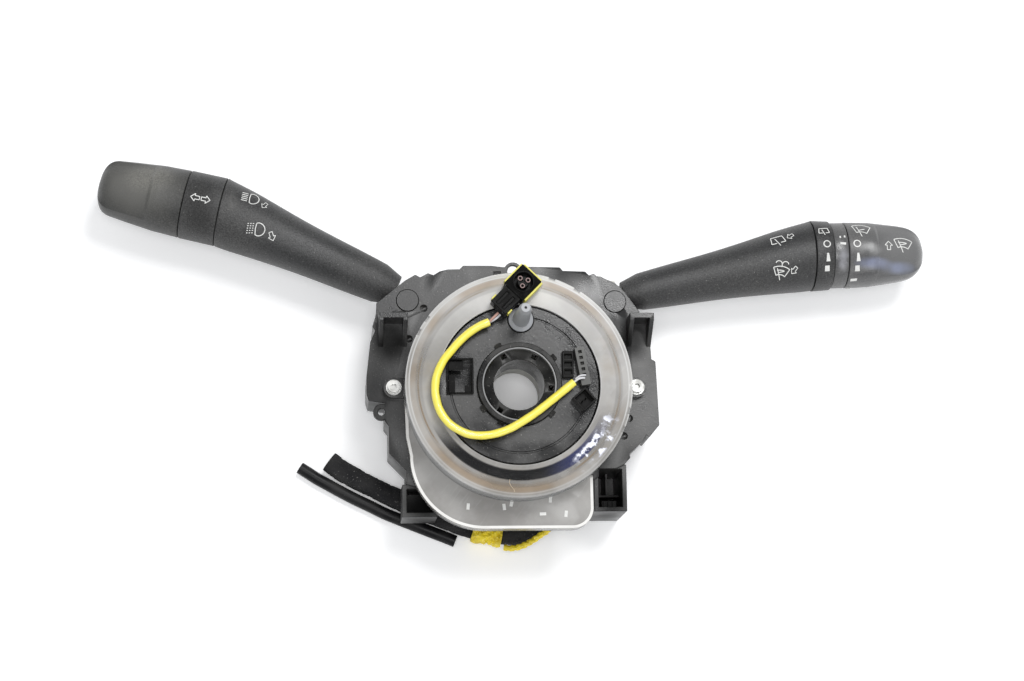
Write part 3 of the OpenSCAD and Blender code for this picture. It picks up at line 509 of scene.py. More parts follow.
@dataclass(frozen=True)
class Finish:
    """One finish: colour, gloss, dust and grain of a surface.

    Patch and grain are noise scales per metre, depth is the grain's bump in millimetres. Lighter patches change
    the colour only; dark dull patches are dark and also dull. Many patches are painted light and painted shade.
    """

    name: str
    base: Color
    rough: float = 0.6
    dust: float = 0.12
    specks: float = 0.2
    patch: float = 40.0
    spread: float = 0.15
    grain: float = 2200.0
    depth: float = 0.0
    metal: float = 0.0
    alpha: float = 1.0
    dust_color: Color = (0.35, 0.34, 0.32)
    coat: float = 0.0
    specular: float = 0.5
    tint: float = 0.0
    lighter_patches: tuple[TonePatch, ...] = ()
    dark_dull_patches: tuple[TonePatch, ...] = ()

    def material(self, weathering: NodeTree) -> Material:
        """Builds the material with the shared weathering group.

        Args:
            weathering: the group from build_weathering.

        Returns:
            The new material.
        """
        mat, shader, group, w = new_material(self.name, weathering)
        for key, value in {"Metallic": self.metal, "Coat Weight": self.coat, "Alpha": self.alpha}.items():
            shader.inputs[key].default_value = value
        for key, value in {
            "Base": (*self.base, 1.0), "Dust": (*self.dust_color, 1.0), "Dust Amount": self.dust,
            "Patch Scale": self.patch, "Speck Amount": self.specks, "Roughness": self.rough,
            "Roughness Spread": self.spread, "Grain Scale": self.grain, "Grain Tint": self.tint,
        }.items():
            group.inputs[key].default_value = value
        color = group.outputs["Color"]
        for patch in self.lighter_patches + self.dark_dull_patches:
            color = patch.over(w, color)
        gloss: Feed = self.specular
        for patch in self.dark_dull_patches:
            gloss = w.fade(gloss, patch.mask(w))
        w.feed(color, shader.inputs["Base Color"])
        w.feed(gloss, shader.inputs["Specular IOR Level"])
        w.feed(group.outputs["Roughness"], shader.inputs["Roughness"])
        if self.depth > 0:
            bump = w.nodes.new("ShaderNodeBump")
            bump.inputs["Distance"].default_value = self.depth * MM
            bump.inputs["Strength"].default_value = 1.0
            w.feed(group.outputs["Height"], bump.inputs["Height"])
            w.feed(bump.outputs["Normal"], shader.inputs["Normal"])
        return mat


class Look(Enum):
    """The finishes used on the module."""

    CARRIER = Finish(
        "carrier_black", (0.013, 0.013, 0.0135), 0.37, 0.09, 0.3, 35.0, 0.22, 1800.0, 0.035, tint=0.5,
        # painted light: two lighter patches on the right of the plate
        lighter_patches=(TonePatch((56, 4, 36), (14, 36, 12), (0.085, 0.083, 0.08), 0.7, 90.0),
              TonePatch((46, -24, 36), (10, 11, 10), (0.08, 0.08, 0.078), 0.7, 90.0)),
        # painted shade: dark, dull patches in the lower boxes, under the two shelves and on the left of the plate
        dark_dull_patches=(TonePatch((-41, -48, 22), (15, 15, 30), 0.003, 0.92), TonePatch((42, -48, 22), (13, 16, 30), 0.003, 0.9),
              TonePatch((-54, 22, 33), (12, 13, 17), 0.004, 0.85), TonePatch((52, 23, 33), (11, 12, 17), 0.004, 0.8),
              TonePatch((-60, 0, 34), (12, 34, 14), 0.005, 0.55)))
    STALK = Finish(
        "stalk_grain", (0.021, 0.021, 0.0215), 0.5, 0.08, 0.3, 22.0, 0.18, 2300.0, 0.14, tint=0.9,
        lighter_patches=(TonePatch((-94, 73, 33), (34, 20, 16), 0.05, 0.5, 1500.0),
              TonePatch((-123.5, 85.5, 38), (3.4, 8, 5), (0.075, 0.073, 0.07), 0.8, 900.0)),
        dark_dull_patches=(TonePatch((-137, 84, 34), (11, 17, 16), 0.008, 0.45),))
    KNOB_PAINTED_SHEEN = Finish(
        "knob_painted_sheen", (0.066, 0.066, 0.068), 0.33, 0.16, 0.2, 45.0, 0.34, 2300.0, 0.05, tint=0.35,
        # painted highlight: a broad light patch over the knob and a pale spot near its inner end; painted reflection:
        # two blue-white bands on its lower half; last, a pale spot on the index ring
        lighter_patches=(TonePatch((176, 66, 33), (24, 20, 14), 0.15, 0.85),
              TonePatch((163, 58.8, 38), (11, 3.6, 8), (0.27, 0.3, 0.43), 0.95, 60.0),
              TonePatch((177, 57.2, 36), (15, 3.8, 10), (0.24, 0.27, 0.38), 0.95, 60.0),
              TonePatch((161, 65, 38), (7, 4, 7), 0.26, 0.9, 160.0),
              TonePatch((148.5, 60, 38), (3.4, 7.4, 7), (0.26, 0.26, 0.28), 0.9, 240.0)))
    KNOB_PAINTED_HIGHLIGHT = Finish(
        "knob_painted_highlight", (0.026, 0.026, 0.0255), 0.5, 0.14, 0.35, 70.0, 0.2, 2000.0, 0.1,
        dust_color=(0.16, 0.155, 0.14), tint=0.8,
        # painted highlight: lighter patches in the knob's thumb recess
        lighter_patches=(TonePatch((-165, 94, 35), (26, 20, 16), (0.11, 0.108, 0.1), 0.9),
              TonePatch((-160, 97, 36), (15, 10, 11), (0.2, 0.195, 0.175), 0.8, 1500.0)))
    ROTOR = Finish(
        "rotor_black", (0.008, 0.008, 0.0085), 0.27, 0.07, 0.55, 60.0, 0.25, 1500.0, 0.025, specular=0.42, tint=0.45,
        lighter_patches=(TonePatch((6, -27, 57), (26, 9, 8), (0.05, 0.049, 0.047), 0.8, 90.0),
              TonePatch((22, 10, 57), (9, 18, 6), (0.03, 0.03, 0.029), 0.6, 120.0)))
    HUB = Finish("hub_black", (0.006, 0.006, 0.006), 0.27, 0.08, 0.4, 90.0, 0.2, 1500.0, 0.02, specular=0.19)
    SOCKET = Finish("socket_black", (0.003, 0.003, 0.003), 0.3, 0.02, 0.12, specular=0.07)
    BRIGHT = Finish("hub_bright", (0.22, 0.22, 0.22), 0.28, 0.3, 0.2, 90.0, 0.3, dust_color=(0.1, 0.1, 0.1))
    STRIP = Finish("header_strip", (0.085, 0.085, 0.08), 0.5, 0.3, 0.3, dust_color=(0.05, 0.05, 0.05))
    PIN = Finish("plunger_grey", (0.34, 0.35, 0.37), 0.36, 0.2, 0.2, 60.0, dust_color=(0.3, 0.3, 0.29))
    ZINC = Finish("zinc", (0.4, 0.4, 0.39), 0.42, 0.3, 0.2, 300.0, 0.3, metal=1.0, dust_color=(0.16, 0.15, 0.13))
    NATURAL = Finish("natural_acetal", (0.68, 0.67, 0.62), 0.45, 0.1, 0.1)
    WALL = Finish("wall_beige", (0.42, 0.34, 0.24), 0.5, 0.3, 0.2, 60.0, dust_color=(0.2, 0.15, 0.1))
    FILM = Finish("ribbon_film", (0.012, 0.012, 0.014), 0.18, 0.05, 0.1)
    YELLOW = Finish(
        "lead_yellow", (0.88, 0.76, 0.075), 0.34, 0.14, 0.15, 60.0,
        dust_color=(0.85, 0.78, 0.3), coat=0.6, specular=0.8)
    TAPE = Finish(
        "tape_yellow", (0.86, 0.68, 0.03), 0.34, 0.4, 0.2, 160.0, 0.15, 520.0, 0.9, dust_color=(0.36, 0.22, 0.03))
    CLIP = Finish("clip_yellow", (0.72, 0.66, 0.07), 0.45, 0.15, 0.1)
    FELT = Finish("felt_black", (0.011, 0.011, 0.012), 0.95, 0.06, 0.5, 80.0, 0.05, 900.0, 0.5, specular=0.3)
    TUBE = Finish("tube_black", (0.006, 0.006, 0.007), 0.45, 0.05, 0.1, 80.0, specular=0.18)
    BOARD = Finish("board_green", (0.03, 0.13, 0.05), 0.4, 0.05, 0.0)
    PAINT = Finish("symbol_white", (0.72, 0.72, 0.7), 0.6, 0.25, 0.0, 300.0, dust_color=(0.3, 0.3, 0.3))
    WIRE_PINK = Finish("wire_pink", (0.45, 0.25, 0.2), 0.5, 0.1, 0.0)
    WIRE_WHITE = Finish("wire_white", (0.6, 0.6, 0.62), 0.5, 0.1, 0.0)
    EDGE = Finish(
        "edge_pale", (0.8, 0.79, 0.765), 0.4, 0.4, 0.0, 120.0, alpha=0.92, dust_color=(0.6, 0.59, 0.56))
    CONTACT = Finish("contact_dull", (0.25, 0.16, 0.15), 0.5, 0.1, 0.0)


Paint = Look | Material


class Paintbox:
    """Keeps one material for each finish."""

    def __init__(self) -> None:
        """Builds the shared group and an empty store."""
        self.weathering = build_weathering()
        self.made: dict[Look, Material] = {}

    def get(self, look: Paint) -> Material:
        """The material of a finish, made on first use; a ready material comes back as it is."""
        if isinstance(look, Material):
            return look
        if look not in self.made:
            self.made[look] = look.value.material(self.weathering)
        return self.made[look]

    @staticmethod
    def clear() -> Material:
        """The cover's hazy clear plastic: stains, painted highlights and glints, and a clear sector over the ribbon.

        Returns:
            The new material.
        """
        mat, shader, haze, w = new_material("cover_clear", build_haze())
        shader.inputs["IOR"].default_value = 1.5
        shader.inputs["Roughness"].default_value = 0.16
        w.feed(haze.outputs["Color"], shader.inputs["Base Color"])
        w.feed(haze.outputs["Alpha"], shader.inputs["Alpha"])
        return mat


@dataclass
class Dresser:
    """Gives finishes to CAD nodes and to new pieces, and says what each new piece rides on."""

    paint: Paintbox

    def cover(self, mesh: bpy.types.Mesh, look: Paint) -> None:
        """Gives a mesh its one material.

        Args:
            mesh: the mesh to paint.
            look: a finish or a ready material.
        """
        mesh.materials.clear()
        mesh.materials.append(self.paint.get(look))

    def node(self, name: str, look: Paint) -> None:
        """Paints one CAD node.

        Args:
            name: node name.
            look: a finish or a ready material.
        """
        self.cover(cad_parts[name].data, look)
        LOG.info("painted %s", name)

    def piece(self, obj: Object, body: str, look: Paint, slot: str, *nodes: str) -> Object:
        """Paints a new piece, lets it ride and hides the nodes that it stands for.

        Args:
            obj: the piece.
            body: the CAD body it rides on.
            look: a finish or a ready material.
            slot: not used.
            nodes: CAD nodes that it replaces.

        Returns:
            The piece.
        """
        self.cover(obj.data, look)
        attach(obj, body)
        if nodes:
            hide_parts(*nodes)
        LOG.info("piece %s rides on %s", obj.name, body)
        return obj

    def rounded(self, node: str, body: str, look: Paint, slot: str, width: float) -> Object:
        """A copy of a CAD node with merged faces and softly broken edges, in the node's place.

        Args:
            node: node name.
            body: the body it rides on.
            look: a finish or a ready material.
            slot: the record's material slot.
            width: bevel width in millimetres.

        Returns:
            The new piece.
        """
        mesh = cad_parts[node].data.copy()
        mesh.name = node + "_look"
        limit = math.radians(BEVEL_FROM_DEG)
        with editing(mesh) as work:
            bmesh.ops.remove_doubles(work, verts=work.verts, dist=MERGE)
            edges = [e for e in work.edges if e.is_manifold and e.is_convex and e.calc_face_angle() > limit]
            bmesh.ops.bevel(work, geom=edges, offset=width * MM, offset_type="OFFSET", segments=1, profile=0.5,
                            affect="EDGES", clamp_overlap=False)
        return self.piece(add_object(mesh.name, shaded(mesh, BEVEL_SHARP_DEG)), body, look, slot, node)


# ---------------------------------------------------------------- stalks
def smooth_step(t: Array) -> Array:
    """A soft rise from 0 to 1 while t goes from 0 to 1: three t squared less two t cubed."""
    t = np.clip(t, 0, 1)
    return t * t * (3 - 2 * t)


@dataclass(frozen=True)
class KnobShape:
    """The form of an end knob: a turned body with a wide thumb recess on its front and back.

    The shrink table gives the loss of radius at shares of the length; all lengths are millimetres.
    """

    length: float
    radius: float
    shrink: tuple[Flat, ...]
    recess_at: float
    recess_depth: float
    tip_depth: float
    start: float
    cap_len: float = 8.5
    cap_power: float = 3.4
    recess_lip: float = 1.6
    recess_share: float = 0.87
    least_height: float = 0.55

    def radius_at(self, s: Array) -> Array:
        """The turned radius at a distance s along the knob.

        It is the radius less the table's loss, times the root of one less a power of the way into the cap.
        """
        at, less = np.array(self.shrink).T
        cap = np.clip((self.length - s) / self.cap_len, 0, 1)
        return (self.radius - np.interp(s, at * self.length, less)) * np.sqrt(1 - (1 - cap) ** self.cap_power)

    def height(self, s: Array, y: Array) -> Array:
        """Height over the axis: the turned height less the recess, which reaches almost to both sides.

        The recess deepens evenly from its lip to the tip and fades with the seventh power of the side distance.

        Args:
            s: distance along the knob.
            y: distance to the side.

        Returns:
            The height.
        """
        r = np.maximum(self.radius_at(s), 0.1)
        z = np.sqrt(np.maximum(r**2 - y**2, 0))
        t = np.clip((s - self.recess_at) / (self.length - self.recess_at), 0, 1)
        depth = (self.recess_depth + (self.tip_depth - self.recess_depth) * t) * (r / self.radius)
        across = np.clip(1 - (np.abs(y) / (self.recess_share * r)) ** 7, 0, 1)
        step = smooth_step((s - self.recess_at) / self.recess_lip)
        return np.maximum(z - step * depth * across, self.least_height * z)

    def points(self, rows: int = 190, sides: int = 200) -> Array:
        """The outer surface, with its rows closer together towards the tip.

        Args:
            rows: rows along the knob.
            sides: points round it.

        Returns:
            Grid points, local to the knob's axis.
        """
        s = self.length * (1 - (1 - np.linspace(0, 1, rows)) ** 1.6)
        r = self.radius_at(s)
        r[-1] = 0.0
        a = np.linspace(0, 2 * math.pi, sides, endpoint=False)
        y = r[:, None] * np.cos(a)
        z = np.sign(np.sin(a)) * self.height(np.repeat(s[:, None], sides, 1), y)
        z[-1] = 0.0
        return np.stack([np.repeat((s + self.start)[:, None], sides, 1), y, z], -1)


@dataclass(frozen=True)
class Stalk:
    """One control stalk: arm, rings and end knob, each a surface about its own axis.

    Crease and elbow are the ends of the arm in the row frame; turns are in degrees, lengths in millimetres.
    """

    side: str
    crease: Flat
    crease_r: float
    elbow: Flat
    head_r: float
    arm_turn: float
    knob_turn: float
    axis_z: float = 24.0
    waist: float = 0.7
    elbow_len: float = 17.0
    root_len: float = 8.0
    root_step: float = 2.4
    edge: float = 0.35
    bore_r: float = 6.1
    lift: float = 0.04

    def knob_axes(self) -> Axes:
        """The frame with x along the knob, starting at the elbow."""
        return Axes((*self.elbow, self.axis_z), self.knob_turn)

    def arm_radius(self, u: Array) -> Array:
        """Radius of the arm at a share u of its length: a straight rise less a waist that goes as sine squared."""
        waist = self.waist * np.sin(math.pi * np.clip(u, 0, 1)) ** 2
        return self.crease_r + (self.head_r - self.crease_r) * u - waist

    def arm(self, rows: int = 80, sides: int = 96) -> Object:
        """The arm: circles about a straight centre line, which turn from the arm's direction into the knob's.

        Args:
            rows: circles along the arm.
            sides: points round it.

        Returns:
            The arm's object.
        """
        a, b = (np.array([*end, self.axis_z]) for end in (self.crease, self.elbow))
        length = math.dist(a, b)
        u = np.linspace(0, 1, rows)
        blend = smooth_step((u * length - (length - self.elbow_len)) / self.elbow_len)
        turn = np.radians(self.arm_turn + (self.knob_turn - self.arm_turn) * blend)
        root, tip = (np.array([math.cos(t), math.sin(t), 0]) for t in (turn[0], turn[-1]))
        first = a - root * self.root_len
        centre = np.concatenate([[first, first], a + (b - a) * u[:, None], [b, b]])
        centre[-3] = b - tip * self.edge
        turn = np.pad(turn, 2, mode="edge")
        radius = [[0, self.crease_r - self.root_step], self.arm_radius(u), [self.head_r - self.edge, 0]]
        radius = np.concatenate(radius)[:, None, None]
        side = np.stack([-np.sin(turn), np.cos(turn), 0 * turn], -1)
        angle = np.linspace(0, 2 * math.pi, sides, endpoint=False)[:, None]
        points = centre[:, None] + radius * (np.cos(angle) * side[:, None] + np.sin(angle) * np.array([0, 0, 1.0]))
        return make_object(f"{self.side}_arm_skin", points, quads(len(centre), sides, True).tolist(), 38)

    def ring(self, name: str, start: float, length: float, r0: float, r1: float, soft: float = 0.3) -> Object:
        """A ring on the knob's axis with softly rounded edges.

        Args:
            name: object name.
            start: distance from the elbow.
            length: ring length.
            r0: radius at its start.
            r1: radius at its end.
            soft: edge rounding.

        Returns:
            The ring's object.
        """
        end, part = start + length, soft * 0.3
        outside = [(start, r0 - soft), (start + part, r0 - part), (start + soft, r0),
                   (end - soft, r1), (end - part, r1 - part), (end, r1 - soft)]
        points, faces = lathe_x([(start, self.bore_r), *outside, (end, self.bore_r), (start, self.bore_r)])
        return make_object(name, self.knob_axes().out(points), faces, 50)

    def knob(self, name: str, shape: KnobShape, rim: float = 0.3) -> Object:
        """The end knob, closed at its inner end.

        Args:
            name: object name.
            shape: the knob's form.
            rim: width of the bevel at its inner end.

        Returns:
            The knob's object.
        """
        grid = shape.points()
        inner, lip, first = (grid[:1] * [1.0, size, size] for size in (0.0, 0.98, 1.0))
        first[..., 0] += rim
        rows = np.concatenate([inner, lip, first, grid[grid[:, 0, 0] > grid[0, 0, 0] + rim + 0.05]])
        faces = quads(len(rows), rows.shape[1], True).tolist()
        return make_object(name, self.knob_axes().out(rows.reshape(-1, 3)), faces, 42)

    def front(self, axes: Axes, height: Callable[[Array, Array], Array]) -> Place:
        """A function that puts row frame x and y on the front surface of a body.

        Args:
            axes: the body's frame.
            height: height over the axis as a function of the distances along it and to its side.

        Returns:
            A function from (n, 2) points to (n, 3) points just above the surface.
        """
        def place(points: Array) -> Array:
            """Adds the height to the points."""
            local = axes.into(np.column_stack([points, np.full(len(points), self.axis_z)]))
            return np.column_stack([points, self.axis_z + height(local[:, 0], local[:, 1]) + self.lift])
        return place

    def on_arm(self, skin: float = 0.12) -> Place:
        """The front of the arm, with a skin over it that clears the facets."""
        run = np.subtract(self.elbow, self.crease)
        axes = Axes((*self.crease, self.axis_z), math.degrees(math.atan2(run[1], run[0])))
        length = math.hypot(*run)
        return self.front(axes, lambda s, y: over_axis(self.arm_radius(s / length) + skin, y))

    def on_ring(self, radius: float) -> Place:
        """The front of a ring of one radius."""
        return self.front(self.knob_axes(), lambda s, y: over_axis(radius, y))

    def on_knob(self, shape: KnobShape) -> Place:
        """The front of the end knob."""
        return self.front(self.knob_axes(), lambda s, y: shape.height(s - shape.start, y) + 0.01)


def over_axis(radius: Array | float, y: Array) -> Array:
    """Height of a turned surface over its axis: the root of radius squared less side distance squared."""
    return np.sqrt(np.maximum(radius**2 - y**2, 0.5))


# ---------------------------------------------------------------- symbols
def arrow(size: float) -> list[Stroke]:
    """An outline arrow that points to +x, closed, about size long."""
    shaft, head, neck = 0.4, 0.9, 0.05
    point = [(neck, shaft), (neck, head), (1, 0), (neck, -head), (neck, -shaft)]
    return [[(x * size / 2, y * size / 2) for x, y in [(-1, -shaft), (-1, shaft), *point, (-1, -shaft)]]]


def arc(cx: float, cy: float, rx: float, ry: float, a0: float, a1: float, n: int = 14) -> list[Flat]:
    """Points on an ellipse from angle a0 to a1 in degrees."""
    a = np.radians(np.linspace(a0, a1, n))
    return list(zip(cx + rx * np.cos(a), cy + ry * np.sin(a)))


def lamp(dashed: bool) -> list[Stroke]:
    """A headlamp with its beam lines on the left: a D shape and five lines, whole or broken."""
    strokes: list[Stroke] = [arc(0.3, 0, 1.9, 1.75, -90, 90) + [(-0.3, 1.55), (-0.45, 0), (-0.3, -1.55), (0.3, -1.75)]]
    for i in range(5):
        y = 1.3 - i * 0.62
        if dashed:
            strokes += [[(-1.0 - 0.7 * k, y - 0.12 * k), (-1.35 - 0.7 * k, y - 0.12 * k - 0.06)] for k in range(3)]
        else:
            strokes.append([(-1.0, y), (-2.7, y)])
    return strokes


def fan(filled: bool, spray: bool) -> list[Stroke]:
    """A windscreen with its wiper, and water drops above it where spray is set."""
    outer = arc(0, -3.4, 5.2, 5.2, 118, 62)
    inner = arc(0, -3.4, 2.9, 2.9, 62, 118)
    strokes: list[Stroke] = [outer + inner + [outer[0]], [(0.1, -1.9), (-1.3, 1.1)], [(-0.6, 0.0), (0.9, 0.5)]]
    if filled:
        strokes.append(arc(0, -3.4, 4.1, 4.1, 108, 76))
    if spray:
        strokes += [arc(-1.0, 2.6, 0.9, 0.7, 0, 180, 8), arc(1.0, 2.6, 0.9, 0.7, 0, 180, 8), [(0, 2.6), (0, 1.6)]]
    return strokes


def rear_screen() -> list[Stroke]:
    """A rear screen with its wiper: a rounded box and one arm."""
    screen = [(-2.0, -0.9), (-1.6, 1.1), (1.6, 1.1), (2.0, -0.9), (0.6, -0.9)]
    return [screen, [(-2.0, -0.9), (-0.5, -0.9)], [(0.2, -1.8), (-0.6, 0.6)]]


def circle_mark(r: float) -> list[Stroke]:
    """A ring mark."""
    return [arc(0, 0, r, r, 0, 360, 26)]


def block(w0: float, w1: float, h: float) -> list[Stroke]:
    """A filled wedge, w0 wide at its foot and w1 at its top, drawn as close lines."""
    halves = [(t, (w0 + (w1 - w0) * t) / 2) for t in np.linspace(0, 1, int(h / 0.22) + 2)]
    return [[(-half, h * (t - 0.5)), (half, h * (t - 0.5))] for t, half in halves]


@dataclass(frozen=True)
class Mark:
    """One painted mark: polylines about its centre in the row frame, in millimetres and degrees."""

    strokes: Sequence[Stroke]
    at: Flat
    turn: float
    width: float
    scale: float = 1.0
    step: float = 0.35

    def lay(self, place: Place) -> tuple[Array, list]:
        """Thin painted lines on a surface: each point of a stroke gets a left and a right point.

        Args:
            place: the surface function.

        Returns:
            Points and faces.
        """
        c, s = math.cos(math.radians(self.turn)), math.sin(math.radians(self.turn))
        points, faces, base = [], [], 0
        for stroke in self.strokes:
            p = np.array(stroke, float) * self.scale
            along = np.concatenate([[0], np.cumsum(np.linalg.norm(np.diff(p, axis=0), axis=1))])
            even = np.linspace(0, along[-1], max(2, int(along[-1] / self.step) + 1))
            where = np.unique(np.concatenate([even, along]))
            q = np.stack([np.interp(where, along, p[:, k]) for k in range(2)], -1)
            t = np.gradient(q, axis=0)
            t /= np.maximum(np.linalg.norm(t, axis=1, keepdims=True), 1e-9)
            half = np.stack([-t[:, 1], t[:, 0]], -1) * self.width / 2
            both = np.concatenate([q - half, q + half]) @ np.array([[c, s], [-s, c]]) + np.array(self.at)
            points.append(place(both))
            m = len(q)
            faces += [[base + i, base + i + 1, base + m + i + 1, base + m + i] for i in range(m - 1)]
            base += 2 * m
        return np.concatenate(points), faces


def decal(name: str, place: Place, *marks: Mark) -> Object:
    """Joins painted marks into one object whose faces look towards the driver.

    Args:
        name: object name.
        place: the surface function.
        marks: the marks.

    Returns:
        The decal's object.
    """
    obj = join_parts(name, [mark.lay(place) for mark in marks])
    with editing(obj.data) as work:
        bmesh.ops.reverse_faces(work, faces=[f for f in work.faces if f.normal.z < 0])
    return obj


# ---------------------------------------------------------------- builders
@dataclass
class LeftStalk:
    """The indicator stalk with its turned ring, its end knob and its light symbols."""

    dress: Dresser
    stalk: Stalk = Stalk("left", (-58.8, 52.1), 9.0, (-128.8, 84.2), 15.4, 155.4, 167.2)
    band: float = 16.2
    shape: KnobShape = KnobShape(38.8, 15.2, ((0, 0), (0.3, 0.4), (0.62, 1.7), (0.83, 2.7), (1, 3.6)), 14.2, 1.3, 3.4,
                                 16.55)

    def build(self) -> None:
        """Makes all pieces of the stalk."""
        st, put = self.stalk, self.dress.piece
        put(st.arm(), "left_stalk", Look.STALK, "abs_black", "left_arm")
        band = st.ring("left_band_skin", 0.25, self.band - 0.25, 15.4, 15.3)
        put(band, "left_stalk", Look.STALK, "abs_black", "left_band")
        put(st.knob("left_knob_skin", self.shape), "left_end", Look.KNOB_PAINTED_HIGHLIGHT, "abs_black", "left_knob")
        ring_marks = decal("left_ring_marks", st.on_ring(15.4),
                           Mark(arrow(3.9), (-139.7, 87.0), 168, 0.36),
                           Mark(arrow(3.9), (-135.1, 86.0), -12, 0.36))
        put(ring_marks, "left_stalk", Look.PAINT, "abs_black")
        arm_marks = decal("left_arm_marks", st.on_arm(),
                          Mark(lamp(False), (-115.3, 87.6), -10, 0.38, 1.56),
                          Mark(arrow(3.3), (-109.5, 84.6), 232, 0.26),
                          Mark(lamp(True), (-112.7, 73.3), -10, 0.38, 1.6),
                          Mark(arrow(3.8), (-106.2, 70.2), -72, 0.3))
        put(arm_marks, "left_stalk", Look.PAINT, "abs_black")


@dataclass
class RightStalk:
    """The wiper stalk with its two twisting parts, the fixed index ring and its symbols."""

    dress: Dresser
    stalk: Stalk = Stalk("right", (58.1, 48.35), 8.3, (136.0, 64.95), 15.75, 12.03, 1.5)
    ring_len: float = 8.6
    index_len: float = 6.4
    shape: KnobShape = KnobShape(36.8, 14.9, ((0, 0), (0.3, 0.3), (0.66, 2.0), (0.85, 3.3), (1, 4.4)), 12.6, 0.7, 3.0,
                                 15.35, cap_len=11.0, cap_power=3.0)

    def build(self) -> None:
        """Makes all pieces of the stalk."""
        st, put = self.stalk, self.dress.piece
        put(st.arm(), "right_stalk", Look.STALK, "abs_black", "right_arm")
        ring = st.ring("right_rear_ring_skin", 0.3, self.ring_len - 0.6, 16.0, 15.6)
        put(ring, "right_ring", Look.STALK, "abs_black", "right_rear_ring")
        index = st.ring("right_index_skin", self.ring_len + 0.05, self.index_len - 0.1, 14.8, 14.8)
        put(index, "right_stalk", Look.KNOB_PAINTED_SHEEN, "abs_black", "right_index_ring")
        put(st.knob("right_knob_skin", self.shape), "right_end", Look.KNOB_PAINTED_SHEEN, "abs_black", "right_end_knob")
        for marks, body in self.marks():
            put(marks, body, Look.PAINT, "abs_black")

    def marks(self) -> list[tuple[Object, str]]:
        """The painted wiper symbols; plain bars stand where the photograph has words.

        Returns:
            Pairs of a decal and the body that it rides on.
        """
        st = self.stalk
        arm = decal("right_arm_marks", st.on_arm(),
                    Mark(rear_screen(), (119.3, 69.4), 14, 0.38, 1.6),
                    Mark(arrow(3.2), (124.9, 71.2), 210, 0.3),
                    Mark(fan(True, True), (120.1, 54.4), -8, 0.38, 1.5),
                    Mark(arrow(3.4), (126.0, 55.4), 232, 0.32))
        ring = decal("right_ring_marks", st.on_ring(15.95),
                     Mark(rear_screen(), (140.0, 73.4), 4, 0.36, 1.2),
                     Mark(circle_mark(1.45), (140.8, 66.9), 0, 0.5),
                     Mark(block(1.8, 0.9, 3.4), (141.2, 60.9), 4, 0.26),
                     Mark(block(2.2, 2.0, 2.0), (141.0, 56.2), 4, 0.26))
        index = decal("right_index_marks", st.on_ring(14.8),
                      Mark(block(2.6, 2.6, 0.8), (148.4, 67.4), -4, 0.26),
                      Mark(block(0.7, 0.7, 0.8), (147.4, 70.6), -4, 0.24),
                      Mark(block(0.7, 0.7, 0.8), (149.4, 70.8), -4, 0.24))
        knob = decal("right_knob_marks", st.on_knob(self.shape),
                     Mark(fan(False, False), (157.6, 74.1), -6, 0.36, 1.7),
                     Mark(circle_mark(1.5), (154.8, 67.4), 0, 0.5),
                     Mark(block(1.8, 0.9, 3.4), (155.2, 61.3), 4, 0.26),
                     Mark(block(2.2, 2.0, 2.0), (155.0, 56.6), 4, 0.26),
                     Mark(block(3.0, 3.0, 0.6), (154.2, 52.4), 4, 0.24),
                     Mark(block(2.0, 2.0, 0.4), (153.0, 49.9), 4, 0.22),
                     Mark(arrow(4.0), (169.7, 67.1), 90, 0.34),
                     Mark(fan(True, False), (176.6, 67.6), -5, 0.38, 1.8))
        return [(arm, "right_stalk"), (ring, "right_ring"), (index, "right_stalk"), (knob, "right_end")]


@dataclass
class AirbagLead:
    """The yellow lead on the rotor with its thin wires; routes are in millimetres."""

    dress: Dresser
    radius: float = 1.75
    height: float = 62.0
    route: tuple[Flat, ...] = (
        (-13, 26.3), (-17, 24.6), (-21.7, 21.5), (-26, 17.6), (-29.4, 13.7), (-32.4, 10), (-34.5, 6), (-35.8, 2.5),
        (-36.3, -0.9), (-36.4, -4), (-36, -6.9), (-35, -10.8), (-33.1, -14.5), (-30.2, -18), (-26.5, -20.5),
        (-22.4, -22.3), (-18.1, -22.9), (-13.8, -22.7), (-9.6, -21.8), (-5.2, -20.2), (-1.1, -18), (5.5, -13.8),
        (11.7, -9.1), (17.8, -4.2), (23, 0))
    pale: tuple[tuple[float, tuple[Point, ...]], ...] = (
        (0.5, ((23.2, 0.15, 62.2), (25, 1.4, 62.6), (26.6, 1.8, 62.5), (27.6, 1.9, 61.9))),
        (0.5, ((-12.7, 26.5, 61.1), (-11.2, 27.2, 61.2), (-9.6, 28.3, 61.2), (-8.1, 29.7, 61.2))),
        (0.4, ((23.8, 1.45, 61.7), (25.6, 2.7, 62.1), (27.2, 3.1, 62.0), (28.2, 3.2, 61.4))))
    pink: tuple[tuple[float, tuple[Point, ...]], ...] = (
        (0.55, ((-12.7, 26.5, 62.4), (-11.6, 27.6, 62.7), (-10.4, 28.8, 62.6), (-9, 30.2, 62.5))),)

    def build(self) -> None:
        """Makes the sleeve, a little wavy along its length, and the wires at its ends."""
        path = smooth_path([(x, y, self.height) for x, y in self.route], 1.0)
        waves = 1 + 0.018 * np.sin(np.arange(len(path)) * 0.9)
        sleeve = make_object("lead_sleeve_skin", *swept(path, self.radius * waves, 20), CORD_SHARP_DEG)
        self.dress.piece(sleeve, "rotor", Look.YELLOW, "yellow_sleeve", "lead_sleeve")
        pale, pink = (join_parts(name, [swept(smooth_path(run, 0.5), r, 10) for r, run in runs], CORD_SHARP_DEG)
                      for name, runs in (("lead_wires_pale", self.pale), ("lead_wires_pink", self.pink)))
        self.dress.piece(pale, "rotor", Look.WIRE_WHITE, "wire_pvc", "lead_wires")
        self.dress.piece(pink, "rotor", Look.WIRE_PINK, "wire_pvc")


